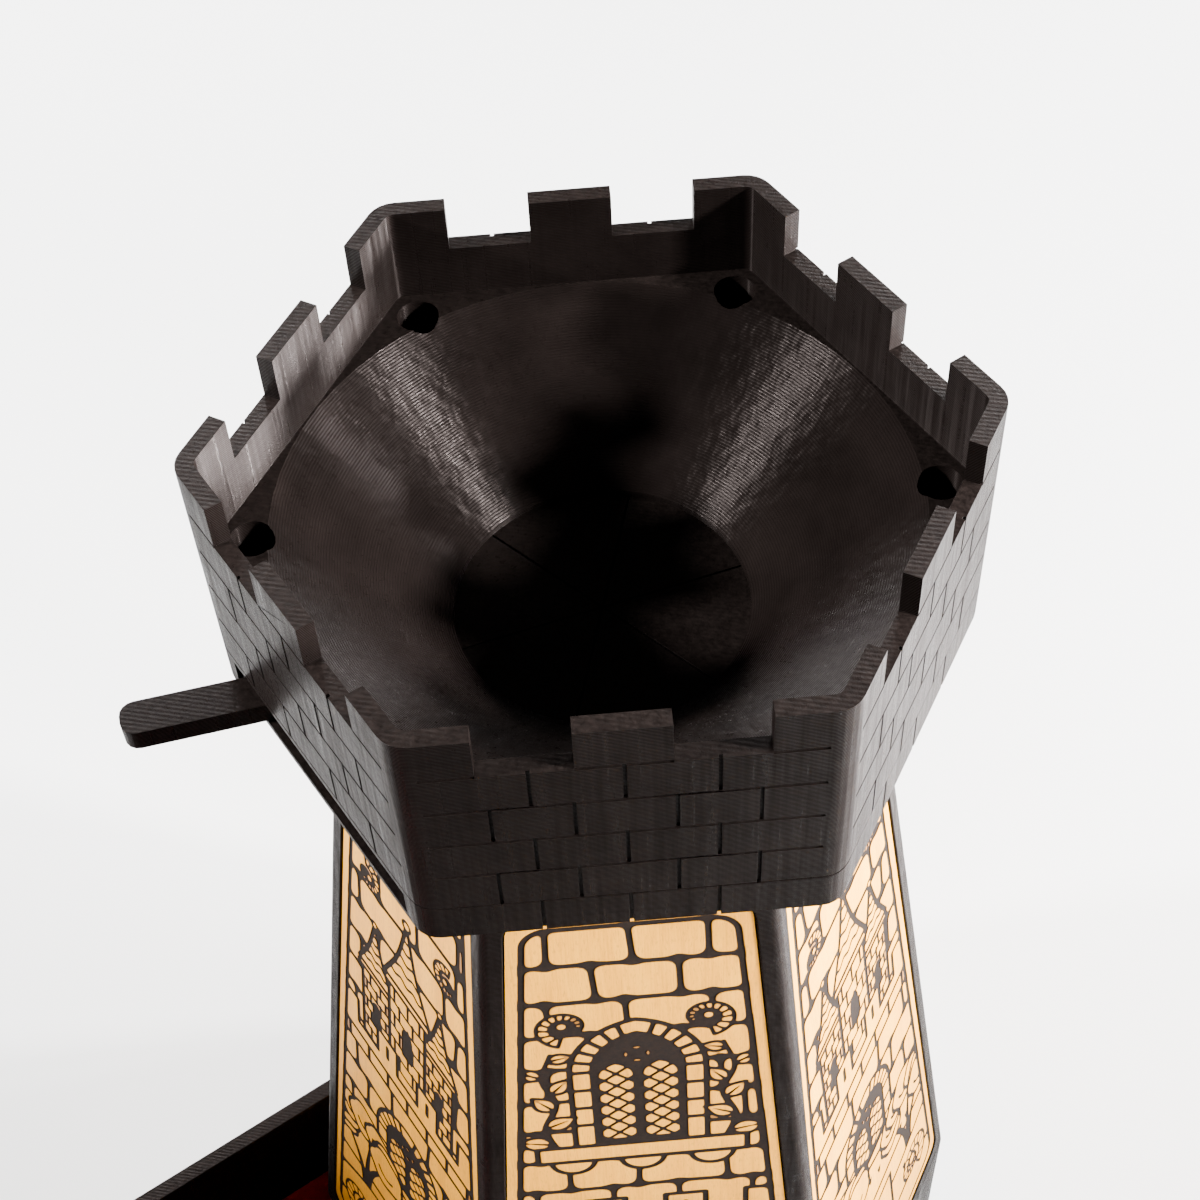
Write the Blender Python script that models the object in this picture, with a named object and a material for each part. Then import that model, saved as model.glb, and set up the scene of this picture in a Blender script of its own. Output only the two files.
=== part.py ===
"""A hexagonal castle dice tower with a dice gate under its battlements, wooden side
panels, sloping baffles, a hexagonal base and a felt lined tray that slides off."""

import math

import bmesh
import bpy
from mathutils import Matrix, Vector

MM = 0.001
SIDES = 6
HALF_SIDE_ANGLE = math.pi / SIDES
SIDE_ANGLE = 2.0 * HALF_SIDE_ANGLE
FRONT_ANGLE = -math.pi / 2.0

# Clearances and cutter overrun
SEAT_GAP = 0.3 * MM
RUNNING_GAP = 0.5 * MM
OVERRUN = 2.0 * MM

# Smoothness of round shapes
CORNER_STEPS = 4
ROUND_STEPS = 64
SMALL_ROUND_STEPS = 20
SLOT_STEPS = 8
SMOOTH_ANGLE = math.radians(35.0)

# Crown with battlements and funnel
COURSE_HEIGHT = 8.0 * MM
CROWN_COURSES = 4
CROWN_APOTHEM = 52.0 * MM
CROWN_CORNER_RADIUS = 4.5 * MM
CROWN_WALL = 2.8 * MM
WELL_CORNER_RADIUS = 1.7 * MM
MERLON_WIDTH = 13.0 * MM
LEDGE_DEPTH = 17.3 * MM
FUNNEL_RIM_LEDGE = 0.3 * MM
THROAT_RADIUS = 23.2 * MM
THROAT_LENGTH = 1.0 * MM

# Crown screws
SCREW_TO_WALL = 4.9 * MM
SCREW_RADIUS = 1.5 * MM
SCREW_HEAD_RADIUS = 2.75 * MM
SCREW_HEAD_HEIGHT = 3.0 * MM
SCREW_SOCKET_RADIUS = 1.25 * MM
SCREW_SOCKET_DEPTH = 1.5 * MM
COUNTERBORE_RADIUS = 3.4 * MM
HEAD_SEAT_HEIGHT = 7.0 * MM
SCREW_BITE = 5.0 * MM

# Gate housing, the lowest course of the crown
HOUSING_FLOOR = 1.2 * MM
HOUSING_ROOF_OVER_SLOT = 1.2 * MM
LEVER_SLOT_LENGTH = 51.0 * MM
BOSS_RADIUS = 3.8 * MM
COLLAR_WALL = 3.0 * MM
COLLAR_LENGTH = 7.5 * MM
HOUSING_HOLE_EXTRA = 0.9 * MM

# Turning ring and its lever
RING_THICKNESS = 4.0 * MM
RING_HOLE_EXTRA = 1.4 * MM
LEVER_WIDTH = 6.2 * MM
LEVER_REACH = 24.3 * MM
LEVER_TIP_RADIUS = 2.4 * MM
LEVER_REST_ANGLE = math.radians(249.5)
RING_TURN = math.radians(42.0)

# Six sliding gate blades
BLADE_THICKNESS = 1.9 * MM
BLADE_PHASE = math.radians(45.0)
OPEN_MARGIN = 0.4 * MM
PIN_OFFSET = 4.4 * MM
PIN_RADIUS = 1.5 * MM
PIN_LENGTH = 3.3 * MM
RIB_LENGTH = 8.0 * MM
RIB_WIDTH = 3.0 * MM
RIB_HEIGHT = 1.4 * MM
BLADE_TIP_LAP = 2.7 * MM
BLADE_SHOULDER_LAP = 4.3 * MM
BLADE_HEEL_LAP = 7.8 * MM
BLADE_SHOULDER_SHARES = (0.15, 0.45, 0.75)

# Flared tower shell
SHELL_HEIGHT = 200.0 * MM
SHELL_TOP_APOTHEM = 37.5 * MM
SHELL_BOTTOM_APOTHEM = 62.0 * MM
SHELL_CORNER_RADIUS = 2.3 * MM
SHELL_WALL = 6.0 * MM
SHAFT_CORNER_RADIUS = 2.0 * MM
SHELL_TOP_PLATE = 8.0 * MM

# Wooden panels in the shell's recesses
PANEL_THICKNESS = 3.0 * MM
PANEL_INSET = 0.4 * MM
PANEL_MARGIN = 3.7 * MM
PANEL_TOP_MARGIN = 19.6 * MM
PANEL_CORNER_RADIUS = 2.8 * MM

# Baffles on sloping shelves
BAFFLE_THICKNESS = 2.4 * MM
BAFFLE_TILT = math.radians(32.0)
SHELF_WIDTH = 3.5 * MM
SHELF_THICKNESS = 2.5 * MM
SHELF_ROOT = 1.0 * MM
SHELF_SETBACK = 4.0 * MM
BAFFLE_NAMES = ("baffle_top", "baffle_middle", "baffle_bottom")
BAFFLE_WALL_SIDES = (-1.0, 1.0, -1.0)
BAFFLE_HEIGHT_SHARES = (0.866, 0.606, 0.356)
BAFFLE_REACH_SHARES = (0.14, 0.19, 0.12)

# Hexagonal base with the exit
BASE_HEIGHT = 38.5 * MM
BASE_WALL = 4.0 * MM
BASE_FLOOR = 2.4 * MM
BASE_FLANGE = 3.0 * MM
SPIGOT_HEIGHT = 6.0 * MM
SPIGOT_WALL = 2.0 * MM
EXIT_WIDTH = 50.0 * MM
EXIT_HEIGHT = 31.0 * MM
EXIT_CORNER_RADIUS = 10.0 * MM

# Exit ramp
RAMP_THICKNESS = 2.4 * MM
RAMP_TOP_HEIGHT = 44.0 * MM
RAMP_RIB_THICKNESS = 2.4 * MM
RAMP_RIB_SPREAD = 17.0 * MM
RAMP_LIP_OVER_FELT = 0.4 * MM

# Tray and its felt
TRAY_LENGTH = 120.0 * MM
TRAY_WIDTH = 120.0 * MM
TRAY_WALL = 4.0 * MM
TRAY_FLOOR = 3.0 * MM
TRAY_CORNER_RADIUS = 6.0 * MM
FELT_THICKNESS = 1.0 * MM

# Heights of the stacked pieces
SHELL_BOTTOM_Z = BASE_HEIGHT + SEAT_GAP
SHELL_TOP_Z = SHELL_BOTTOM_Z + SHELL_HEIGHT
HOUSING_BOTTOM_Z = SHELL_TOP_Z + SEAT_GAP
HOUSING_TOP_Z = HOUSING_BOTTOM_Z + COURSE_HEIGHT - SEAT_GAP
CROWN_BOTTOM_Z = HOUSING_TOP_Z + SEAT_GAP
CROWN_TOP_Z = CROWN_BOTTOM_Z + (CROWN_COURSES + 1) * COURSE_HEIGHT
LEDGE_Z = CROWN_TOP_Z - LEDGE_DEPTH
HOUSING_FLOOR_Z = HOUSING_BOTTOM_Z + HOUSING_FLOOR
RING_BOTTOM_Z = HOUSING_FLOOR_Z + SEAT_GAP
RING_TOP_Z = RING_BOTTOM_Z + RING_THICKNESS
BLADE_BOTTOM_Z = RING_TOP_Z + SEAT_GAP
BLADE_TOP_Z = BLADE_BOTTOM_Z + BLADE_THICKNESS
FELT_BOTTOM_Z = TRAY_FLOOR + SEAT_GAP
FELT_TOP_Z = FELT_BOTTOM_Z + FELT_THICKNESS

# Plan sizes that follow from the named ones
TOWER_AXIS_Y = (SEAT_GAP + TRAY_LENGTH) / 2.0
WELL_APOTHEM = CROWN_APOTHEM - CROWN_WALL
SCREW_CIRCLE_RADIUS = (WELL_APOTHEM - SCREW_TO_WALL) / math.cos(HALF_SIDE_ANGLE)
SCREW_HOLE_RADIUS = SCREW_RADIUS + SEAT_GAP
RING_OUTER_RADIUS = SCREW_CIRCLE_RADIUS - BOSS_RADIUS - RUNNING_GAP
RING_INNER_RADIUS = THROAT_RADIUS + RING_HOLE_EXTRA
HOUSING_HOLE_RADIUS = THROAT_RADIUS + HOUSING_HOLE_EXTRA
COLLAR_OUTER_RADIUS = HOUSING_HOLE_RADIUS + COLLAR_WALL
PIN_CIRCLE_RADIUS = THROAT_RADIUS + PIN_OFFSET
BLADE_TRAVEL = (THROAT_RADIUS + OPEN_MARGIN) / math.cos(HALF_SIDE_ANGLE)
SHELL_FLARE = (SHELL_BOTTOM_APOTHEM - SHELL_TOP_APOTHEM) / SHELL_HEIGHT
SHELL_LEAN = math.atan(SHELL_FLARE)
SHAFT_HEIGHT = SHELL_HEIGHT - SHELL_TOP_PLATE
BAFFLE_DROP = math.tan(BAFFLE_TILT)
RAMP_LIP_Z = FELT_TOP_Z + RAMP_LIP_OVER_FELT


def clear_scene():
    """Remove every object that the new file opens with."""
    for thing in list(bpy.data.objects):
        bpy.data.objects.remove(thing, do_unlink=True)


def make_material(name, colour, roughness, metallic=0.0):
    """A plain Principled material."""
    material = bpy.data.materials.new(name)
    material.use_nodes = True
    shader = material.node_tree.nodes["Principled BSDF"]
    shader.inputs["Base Color"].default_value = (*colour, 1.0)
    shader.inputs["Roughness"].default_value = roughness
    shader.inputs["Metallic"].default_value = metallic
    return material


def polar(radius, angle):
    """A plan point at a radius and an angle."""
    return Vector((radius * math.cos(angle), radius * math.sin(angle)))


def rounded_outline(corners, radius, steps=CORNER_STEPS):
    """Round every corner of a closed counter-clockwise plan outline."""
    points = []
    count = len(corners)
    for index, corner in enumerate(corners):
        before = (corners[index - 1] - corner).normalized()
        after = (corners[(index + 1) % count] - corner).normalized()
        half_angle = before.angle(after) / 2.0
        middle = (before + after).normalized()
        centre = corner + middle * radius / math.sin(half_angle)
        start = corner + before * radius / math.tan(half_angle) - centre
        sweep = (math.pi - 2.0 * half_angle) * math.copysign(1.0, before.cross(after) * -1.0)
        for step in range(steps + 1):
            turn = Matrix.Rotation(sweep * step / steps, 2)
            points.append(centre + turn @ start)
    return points


def hexagon_corners(apothem):
    """Six sharp corners with flat faces to the front and back."""
    return [polar(apothem / math.cos(HALF_SIDE_ANGLE), SIDE_ANGLE * k) for k in range(SIDES)]


def rounded_hexagon(apothem, radius):
    """A hexagon outline with rounded corners."""
    return rounded_outline(hexagon_corners(apothem), radius)


def circle_outline(radius, steps=ROUND_STEPS, centre=Vector((0.0, 0.0))):
    """A round outline."""
    return [centre + polar(radius, 2.0 * math.pi * k / steps) for k in range(steps)]


def add_loft(mesh, loops):
    """Join loops of 3-D points, bottom to top, into one closed body."""
    rings = [[mesh.verts.new(point) for point in loop] for loop in loops]
    count = len(rings[0])
    for lower, upper in zip(rings, rings[1:]):
        for k in range(count):
            following = (k + 1) % count
            mesh.faces.new((lower[k], lower[following], upper[following], upper[k]))
    mesh.faces.new(list(reversed(rings[0])))
    mesh.faces.new(rings[-1])


def level(outline, height):
    """Lift a plan outline to a height."""
    return [Vector((point.x, point.y, height)) for point in outline]


def add_prism(mesh, outline, bottom, top):
    """A straight prism on a plan outline."""
    add_loft(mesh, [level(outline, bottom), level(outline, top)])


def add_side_prism(mesh, profile, half_width):
    """A prism along X on a counter-clockwise profile of (y, z) points."""
    left = [Vector((-half_width, point.x, point.y)) for point in profile]
    right = [Vector((half_width, point.x, point.y)) for point in profile]
    add_loft(mesh, [left, right])


def add_turned(mesh, profile, steps=ROUND_STEPS, centre=Vector((0.0, 0.0))):
    """A turned body on a profile of (radius, height) points, listed bottom to top."""
    loops = []
    for point in profile:
        loops.append(level(circle_outline(point.x, steps, centre), point.y))
    add_loft(mesh, loops)


def new_object(name, mesh, material, parent):
    """Turn a finished bmesh into a named object under a parent."""
    bmesh.ops.recalc_face_normals(mesh, faces=mesh.faces)
    data = bpy.data.meshes.new(name)
    mesh.to_mesh(data)
    mesh.free()
    return place_object(name, data, material, parent)


def place_object(name, data, material, parent):
    """Link an object that carries the given mesh."""
    thing = bpy.data.objects.new(name, data)
    bpy.context.scene.collection.objects.link(thing)
    thing.parent = parent
    if material is not None and not data.materials:
        data.materials.append(material)
    return thing


def new_cutter(name, mesh, parent):
    """A hidden helper solid."""
    cutter = new_object(name, mesh, None, parent)
    cutter.hide_render = True
    cutter.display_type = "WIRE"
    return cutter


def add_boolean(thing, operation, helper):
    """Cut, join or clip an object with a helper."""
    modifier = thing.modifiers.new(helper.name, "BOOLEAN")
    modifier.operation = operation
    modifier.object = helper
    modifier.solver = "EXACT"


def cut(thing, helper):
    """Take a helper's space out of an object."""
    add_boolean(thing, "DIFFERENCE", helper)


def join(thing, helper):
    """Join a helper's body to an object."""
    add_boolean(thing, "UNION", helper)


def clip(thing, helper):
    """Keep only what lies inside a helper."""
    add_boolean(thing, "INTERSECT", helper)


def soften(thing):
    """Shade round walls smooth and keep the edges crisp."""
    thing.data.shade_smooth()
    thing.data.set_sharp_from_angle(angle=SMOOTH_ANGLE)


def screw_centres():
    """Plan positions of the six crown screws, one in each corner."""
    return [polar(SCREW_CIRCLE_RADIUS, SIDE_ANGLE * k) for k in range(SIDES)]


def slide_direction(index):
    """The plan direction in which a gate blade opens."""
    return polar(1.0, BLADE_PHASE + SIDE_ANGLE * index + HALF_SIDE_ANGLE)


def pin_place(index):
    """The plan position of a blade's pin with the gate shut."""
    return polar(PIN_CIRCLE_RADIUS, BLADE_PHASE + SIDE_ANGLE * (index - 1))


def strip_outline(start, end, half_width):
    """A rectangle along a line between two plan points."""
    along = (end - start).normalized()
    across = Vector((-along.y, along.x)) * half_width
    return [start - across, end - across, end + across, start + across]


def make_crown(parent, material):
    """Battlements and funnel printed as one piece, open at its throat."""
    mesh = bmesh.new()
    outline = rounded_hexagon(CROWN_APOTHEM, CROWN_CORNER_RADIUS)
    add_prism(mesh, outline, CROWN_BOTTOM_Z, CROWN_TOP_Z)
    crown = new_object("crown_hopper", mesh, material, parent)

    mesh = bmesh.new()
    outline = rounded_hexagon(WELL_APOTHEM, WELL_CORNER_RADIUS)
    add_prism(mesh, outline, LEDGE_Z, CROWN_TOP_Z + OVERRUN)
    cut(crown, new_cutter("cut_well", mesh, parent))

    mesh = bmesh.new()
    rim = WELL_APOTHEM - FUNNEL_RIM_LEDGE
    profile = [Vector((THROAT_RADIUS, CROWN_BOTTOM_Z - OVERRUN))]
    profile.append(Vector((THROAT_RADIUS, CROWN_BOTTOM_Z + THROAT_LENGTH)))
    profile.append(Vector((rim, LEDGE_Z)))
    profile.append(Vector((rim, LEDGE_Z + OVERRUN)))
    add_turned(mesh, profile)
    cut(crown, new_cutter("cut_funnel", mesh, parent))

    cut(crown, make_crenel_cutter(parent))
    cut(crown, make_counterbore_cutter(parent))
    cut(crown, make_screw_hole_cutter(parent))
    cut(crown, make_groove_cutter(parent))
    soften(crown)
    return crown


def make_crenel_cutter(parent):
    """Two crenels in each face, each as wide as the merlon between them."""
    mesh = bmesh.new()
    half = MERLON_WIDTH / 2.0
    bottom = CROWN_TOP_Z - COURSE_HEIGHT
    for side in range(SIDES):
        normal_angle = HALF_SIDE_ANGLE + SIDE_ANGLE * side
        outward = polar(1.0, normal_angle)
        along = Vector((-outward.y, outward.x))
        for place in (-MERLON_WIDTH, MERLON_WIDTH):
            start = outward * (WELL_APOTHEM - OVERRUN) + along * place
            end = outward * (CROWN_APOTHEM + OVERRUN) + along * place
            add_prism(mesh, strip_outline(start, end, half), bottom, CROWN_TOP_Z + OVERRUN)
    return new_cutter("cut_crenels", mesh, parent)


def make_counterbore_cutter(parent):
    """Wide holes for the screw heads."""
    mesh = bmesh.new()
    for centre in screw_centres():
        outline = circle_outline(COUNTERBORE_RADIUS, SMALL_ROUND_STEPS, centre)
        add_prism(mesh, outline, CROWN_BOTTOM_Z + HEAD_SEAT_HEIGHT, LEDGE_Z + OVERRUN)
    return new_cutter("cut_counterbores", mesh, parent)


def make_screw_hole_cutter(parent):
    """Narrow holes for the screw shanks, blind in the housing's bosses."""
    mesh = bmesh.new()
    bottom = CROWN_BOTTOM_Z - SCREW_BITE - SEAT_GAP
    for centre in screw_centres():
        outline = circle_outline(SCREW_HOLE_RADIUS, SMALL_ROUND_STEPS, centre)
        add_prism(mesh, outline, bottom, CROWN_BOTTOM_Z + HEAD_SEAT_HEIGHT + OVERRUN)
    return new_cutter("cut_screw_holes", mesh, parent)


def make_groove_cutter(parent):
    """Straight grooves under the crown that the blades' ribs run in."""
    mesh = bmesh.new()
    reach = RIB_LENGTH / 2.0 + RUNNING_GAP
    for index in range(SIDES):
        direction = slide_direction(index)
        start = pin_place(index) - direction * reach
        end = pin_place(index) + direction * (BLADE_TRAVEL + reach)
        outline = strip_outline(start, end, RIB_WIDTH / 2.0 + SEAT_GAP)
        top = BLADE_TOP_Z + RIB_HEIGHT + SEAT_GAP
        add_prism(mesh, outline, CROWN_BOTTOM_Z - OVERRUN, top)
    return new_cutter("cut_blade_grooves", mesh, parent)


def cavity_outline():
    """The housing's inside: a hexagon with a screw boss standing in each corner."""
    points = []
    wall_radius = (WELL_APOTHEM - BOSS_RADIUS * math.sin(HALF_SIDE_ANGLE))
    wall_radius /= math.cos(HALF_SIDE_ANGLE)
    for corner in range(SIDES):
        turn = Matrix.Rotation(SIDE_ANGLE * corner, 2)
        local = [Vector((wall_radius, -BOSS_RADIUS))]
        for step in range(SLOT_STEPS + 1):
            angle = -math.pi / 2.0 - math.pi * step / SLOT_STEPS
            local.append(Vector((SCREW_CIRCLE_RADIUS, 0.0)) + polar(BOSS_RADIUS, angle))
        local.append(Vector((wall_radius, BOSS_RADIUS)))
        points.extend(turn @ point for point in local)
    return points


def make_housing(parent, material):
    """The gate housing: the lowest course, with the lever's slot and the collar."""
    mesh = bmesh.new()
    outline = rounded_hexagon(CROWN_APOTHEM, CROWN_CORNER_RADIUS)
    add_prism(mesh, outline, HOUSING_BOTTOM_Z, HOUSING_TOP_Z)
    housing = new_object("gate_housing", mesh, material, parent)

    mesh = bmesh.new()
    collar_bottom = HOUSING_BOTTOM_Z - COLLAR_LENGTH
    collar_top = HOUSING_BOTTOM_Z + HOUSING_FLOOR / 2.0
    add_prism(mesh, circle_outline(COLLAR_OUTER_RADIUS), collar_bottom, collar_top)
    join(housing, new_cutter("add_collar", mesh, parent))

    mesh = bmesh.new()
    add_prism(mesh, cavity_outline(), HOUSING_FLOOR_Z, HOUSING_TOP_Z + OVERRUN)
    cut(housing, new_cutter("cut_gate_cavity", mesh, parent))

    mesh = bmesh.new()
    hole = circle_outline(HOUSING_HOLE_RADIUS)
    add_prism(mesh, hole, collar_bottom - OVERRUN, HOUSING_FLOOR_Z + OVERRUN)
    cut(housing, new_cutter("cut_housing_hole", mesh, parent))

    mesh = bmesh.new()
    start = polar(WELL_APOTHEM - OVERRUN, FRONT_ANGLE)
    end = polar(CROWN_APOTHEM + OVERRUN, FRONT_ANGLE)
    slot = strip_outline(start, end, LEVER_SLOT_LENGTH / 2.0)
    add_prism(mesh, slot, HOUSING_FLOOR_Z, HOUSING_TOP_Z - HOUSING_ROOF_OVER_SLOT)
    cut(housing, new_cutter("cut_lever_slot", mesh, parent))

    cut(housing, bpy.data.objects["cut_screw_holes"])
    soften(housing)
    return housing


def cam_slot_outline(index):
    """The ring's slot for a blade's pin, as the pin's path seen from the ring."""
    path = []
    for step in range(SLOT_STEPS + 1):
        share = step / SLOT_STEPS
        place = pin_place(index) + slide_direction(index) * (BLADE_TRAVEL * share)
        path.append(Matrix.Rotation(-RING_TURN * share, 2) @ place)
    half_width = PIN_RADIUS + SEAT_GAP
    left = []
    right = []
    for step, place in enumerate(path):
        before = path[max(step - 1, 0)]
        after = path[min(step + 1, SLOT_STEPS)]
        along = (after - before).normalized()
        across = Vector((-along.y, along.x)) * half_width
        left.append(place + across)
        right.append(place - across)
    return right + round_end(path[-1], right[-1]) + left[::-1] + round_end(path[0], left[0])


def round_end(centre, start):
    """Points of the half circle that closes a slot's end, without its two ends."""
    arm = start - centre
    turns = [math.pi * step / SLOT_STEPS for step in range(1, SLOT_STEPS)]
    return [centre + Matrix.Rotation(turn, 2) @ arm for turn in turns]


def make_ring(parent, material):
    """The turning ring with the lever that sticks out of the front slot."""
    mesh = bmesh.new()
    add_prism(mesh, circle_outline(RING_OUTER_RADIUS), RING_BOTTOM_Z, RING_TOP_Z)
    ring = new_object("gate_ring", mesh, material, parent)

    mesh = bmesh.new()
    root = polar(RING_OUTER_RADIUS - LEVER_WIDTH / 2.0, LEVER_REST_ANGLE)
    tip = polar(CROWN_APOTHEM + LEVER_REACH, LEVER_REST_ANGLE)
    bar = strip_outline(root, tip, LEVER_WIDTH / 2.0)
    outline = rounded_outline(bar, LEVER_TIP_RADIUS)
    add_prism(mesh, outline, RING_BOTTOM_Z, RING_TOP_Z)
    join(ring, new_cutter("add_lever", mesh, parent))

    mesh = bmesh.new()
    hole = circle_outline(RING_INNER_RADIUS)
    add_prism(mesh, hole, RING_BOTTOM_Z - OVERRUN, RING_TOP_Z + OVERRUN)
    cut(ring, new_cutter("cut_ring_hole", mesh, parent))

    mesh = bmesh.new()
    for index in range(SIDES):
        outline = cam_slot_outline(index)
        add_prism(mesh, outline, RING_BOTTOM_Z - OVERRUN, RING_TOP_Z + OVERRUN)
    cut(ring, new_cutter("cut_cam_slots", mesh, parent))
    soften(ring)
    return ring


def blade_outline():
    """A 60 degree blade whose tip meets the other five over the throat's centre."""
    half_gap = SEAT_GAP / 2.0
    lead = BLADE_PHASE - math.pi / 2.0
    trail = lead + SIDE_ANGLE
    inset = polar(half_gap, BLADE_PHASE)
    other_inset = polar(half_gap, BLADE_PHASE + SIDE_ANGLE + math.pi)
    apex = polar(SEAT_GAP, lead + HALF_SIDE_ANGLE)
    shoulder, heel, back = BLADE_SHOULDER_SHARES
    points = [apex]
    points.append(inset + polar(THROAT_RADIUS + BLADE_HEEL_LAP, lead))
    points.append(polar(THROAT_RADIUS + BLADE_HEEL_LAP, trail - SIDE_ANGLE * back))
    points.append(polar(THROAT_RADIUS + BLADE_HEEL_LAP, trail - SIDE_ANGLE * heel))
    points.append(polar(THROAT_RADIUS + BLADE_SHOULDER_LAP, trail - SIDE_ANGLE * shoulder))
    points.append(other_inset + polar(THROAT_RADIUS + BLADE_TIP_LAP, trail))
    return points


def make_blades(parent, material):
    """Six alike blades that slide outward between the crown and the ring."""
    mesh = bmesh.new()
    add_prism(mesh, blade_outline(), BLADE_BOTTOM_Z, BLADE_TOP_Z)
    first = new_object("gate_blade_1", mesh, material, parent)

    mesh = bmesh.new()
    direction = slide_direction(0)
    half = direction * (RIB_LENGTH / 2.0)
    rib = strip_outline(pin_place(0) - half, pin_place(0) + half, RIB_WIDTH / 2.0)
    middle = (BLADE_BOTTOM_Z + BLADE_TOP_Z) / 2.0
    add_prism(mesh, rib, middle, BLADE_TOP_Z + RIB_HEIGHT)
    join(first, new_cutter("add_blade_rib", mesh, parent))

    mesh = bmesh.new()
    pin = circle_outline(PIN_RADIUS, SMALL_ROUND_STEPS, pin_place(0))
    add_prism(mesh, pin, BLADE_BOTTOM_Z - PIN_LENGTH, middle)
    join(first, new_cutter("add_blade_pin", mesh, parent))

    for index in range(1, SIDES):
        name = "gate_blade_{}".format(index + 1)
        blade = place_object(name, first.data, material, parent)
        blade.rotation_euler.z = SIDE_ANGLE * index
        for source in first.modifiers:
            add_turned_boolean(blade, source, index, parent)


def add_turned_boolean(blade, source, index, parent):
    """Give a turned blade a turned twin of the first blade's helper."""
    name = "{}_{}".format(source.object.name, index + 1)
    helper = place_object(name, source.object.data, None, parent)
    helper.rotation_euler.z = SIDE_ANGLE * index
    helper.hide_render = True
    helper.display_type = "WIRE"
    add_boolean(blade, source.operation, helper)


def make_crown_screws(parent, material):
    """Six cap screws that hold the crown down on the gate housing."""
    mesh = bmesh.new()
    top = HEAD_SEAT_HEIGHT + SEAT_GAP + SCREW_HEAD_HEIGHT
    profile = [Vector((SCREW_RADIUS, -SCREW_BITE))]
    profile.append(Vector((SCREW_RADIUS, top - SCREW_HEAD_HEIGHT)))
    profile.append(Vector((SCREW_HEAD_RADIUS, top - SCREW_HEAD_HEIGHT)))
    profile.append(Vector((SCREW_HEAD_RADIUS, top)))
    profile.append(Vector((SCREW_SOCKET_RADIUS, top)))
    profile.append(Vector((SCREW_SOCKET_RADIUS, top - SCREW_SOCKET_DEPTH)))
    add_turned(mesh, profile, SMALL_ROUND_STEPS)
    bmesh.ops.recalc_face_normals(mesh, faces=mesh.faces)
    data = bpy.data.meshes.new("crown_screw")
    mesh.to_mesh(data)
    mesh.free()
    for number, centre in enumerate(screw_centres(), start=1):
        screw = place_object("crown_screw_{}".format(number), data, material, parent)
        screw.location = (centre.x, centre.y, CROWN_BOTTOM_Z)
    soften(screw)


def shell_apothem(height):
    """The shell's outer apothem at a height."""
    return SHELL_BOTTOM_APOTHEM - SHELL_FLARE * (height - SHELL_BOTTOM_Z)


def shaft_apothem(height):
    """The shaft's inner apothem at a height."""
    return shell_apothem(height) - SHELL_WALL


def add_shaft_frustum(mesh, bottom, top, growth=0.0):
    """The shaft's tapered inside between two heights, grown or shrunk all round."""
    loops = []
    for height in (bottom, top):
        outline = rounded_hexagon(shaft_apothem(height) + growth, SHAFT_CORNER_RADIUS)
        loops.append(level(outline, height))
    add_loft(mesh, loops)


def face_frame(angle):
    """The shell face's own axes: across, up the slope and outward, from its lower edge."""
    outward = Vector((math.cos(angle), math.sin(angle), 0.0))
    across = Vector((-outward.y, outward.x, 0.0))
    up = Vector((0.0, 0.0, math.cos(SHELL_LEAN))) - outward * math.sin(SHELL_LEAN)
    normal = outward * math.cos(SHELL_LEAN) + Vector((0.0, 0.0, math.sin(SHELL_LEAN)))
    origin = outward * SHELL_BOTTOM_APOTHEM + Vector((0.0, 0.0, SHELL_BOTTOM_Z))
    return origin, across, up, normal


def panel_outline(growth):
    """A panel's four sided outline in its face's plane, as across and up values."""
    slope_length = SHELL_HEIGHT / math.cos(SHELL_LEAN)
    low = PANEL_MARGIN - growth
    high = slope_length - PANEL_TOP_MARGIN + growth
    side = PANEL_MARGIN - growth
    corners = []
    for up_value, sign in ((low, -1.0), (low, 1.0), (high, 1.0), (high, -1.0)):
        height = SHELL_BOTTOM_Z + up_value * math.cos(SHELL_LEAN)
        half_side = shell_apothem(height) * math.tan(HALF_SIDE_ANGLE) - side
        corners.append(Vector((sign * half_side, up_value)))
    return rounded_outline(corners, PANEL_CORNER_RADIUS + growth)


def add_face_slab(mesh, angle, outline, depth_in, depth_out):
    """A slab on an outline in a shell face's plane, between two depths."""
    origin, across, up, normal = face_frame(angle)
    loops = []
    for depth in (depth_in, depth_out):
        base = origin + normal * depth
        loops.append([base + across * point.x + up * point.y for point in outline])
    add_loft(mesh, loops)


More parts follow.
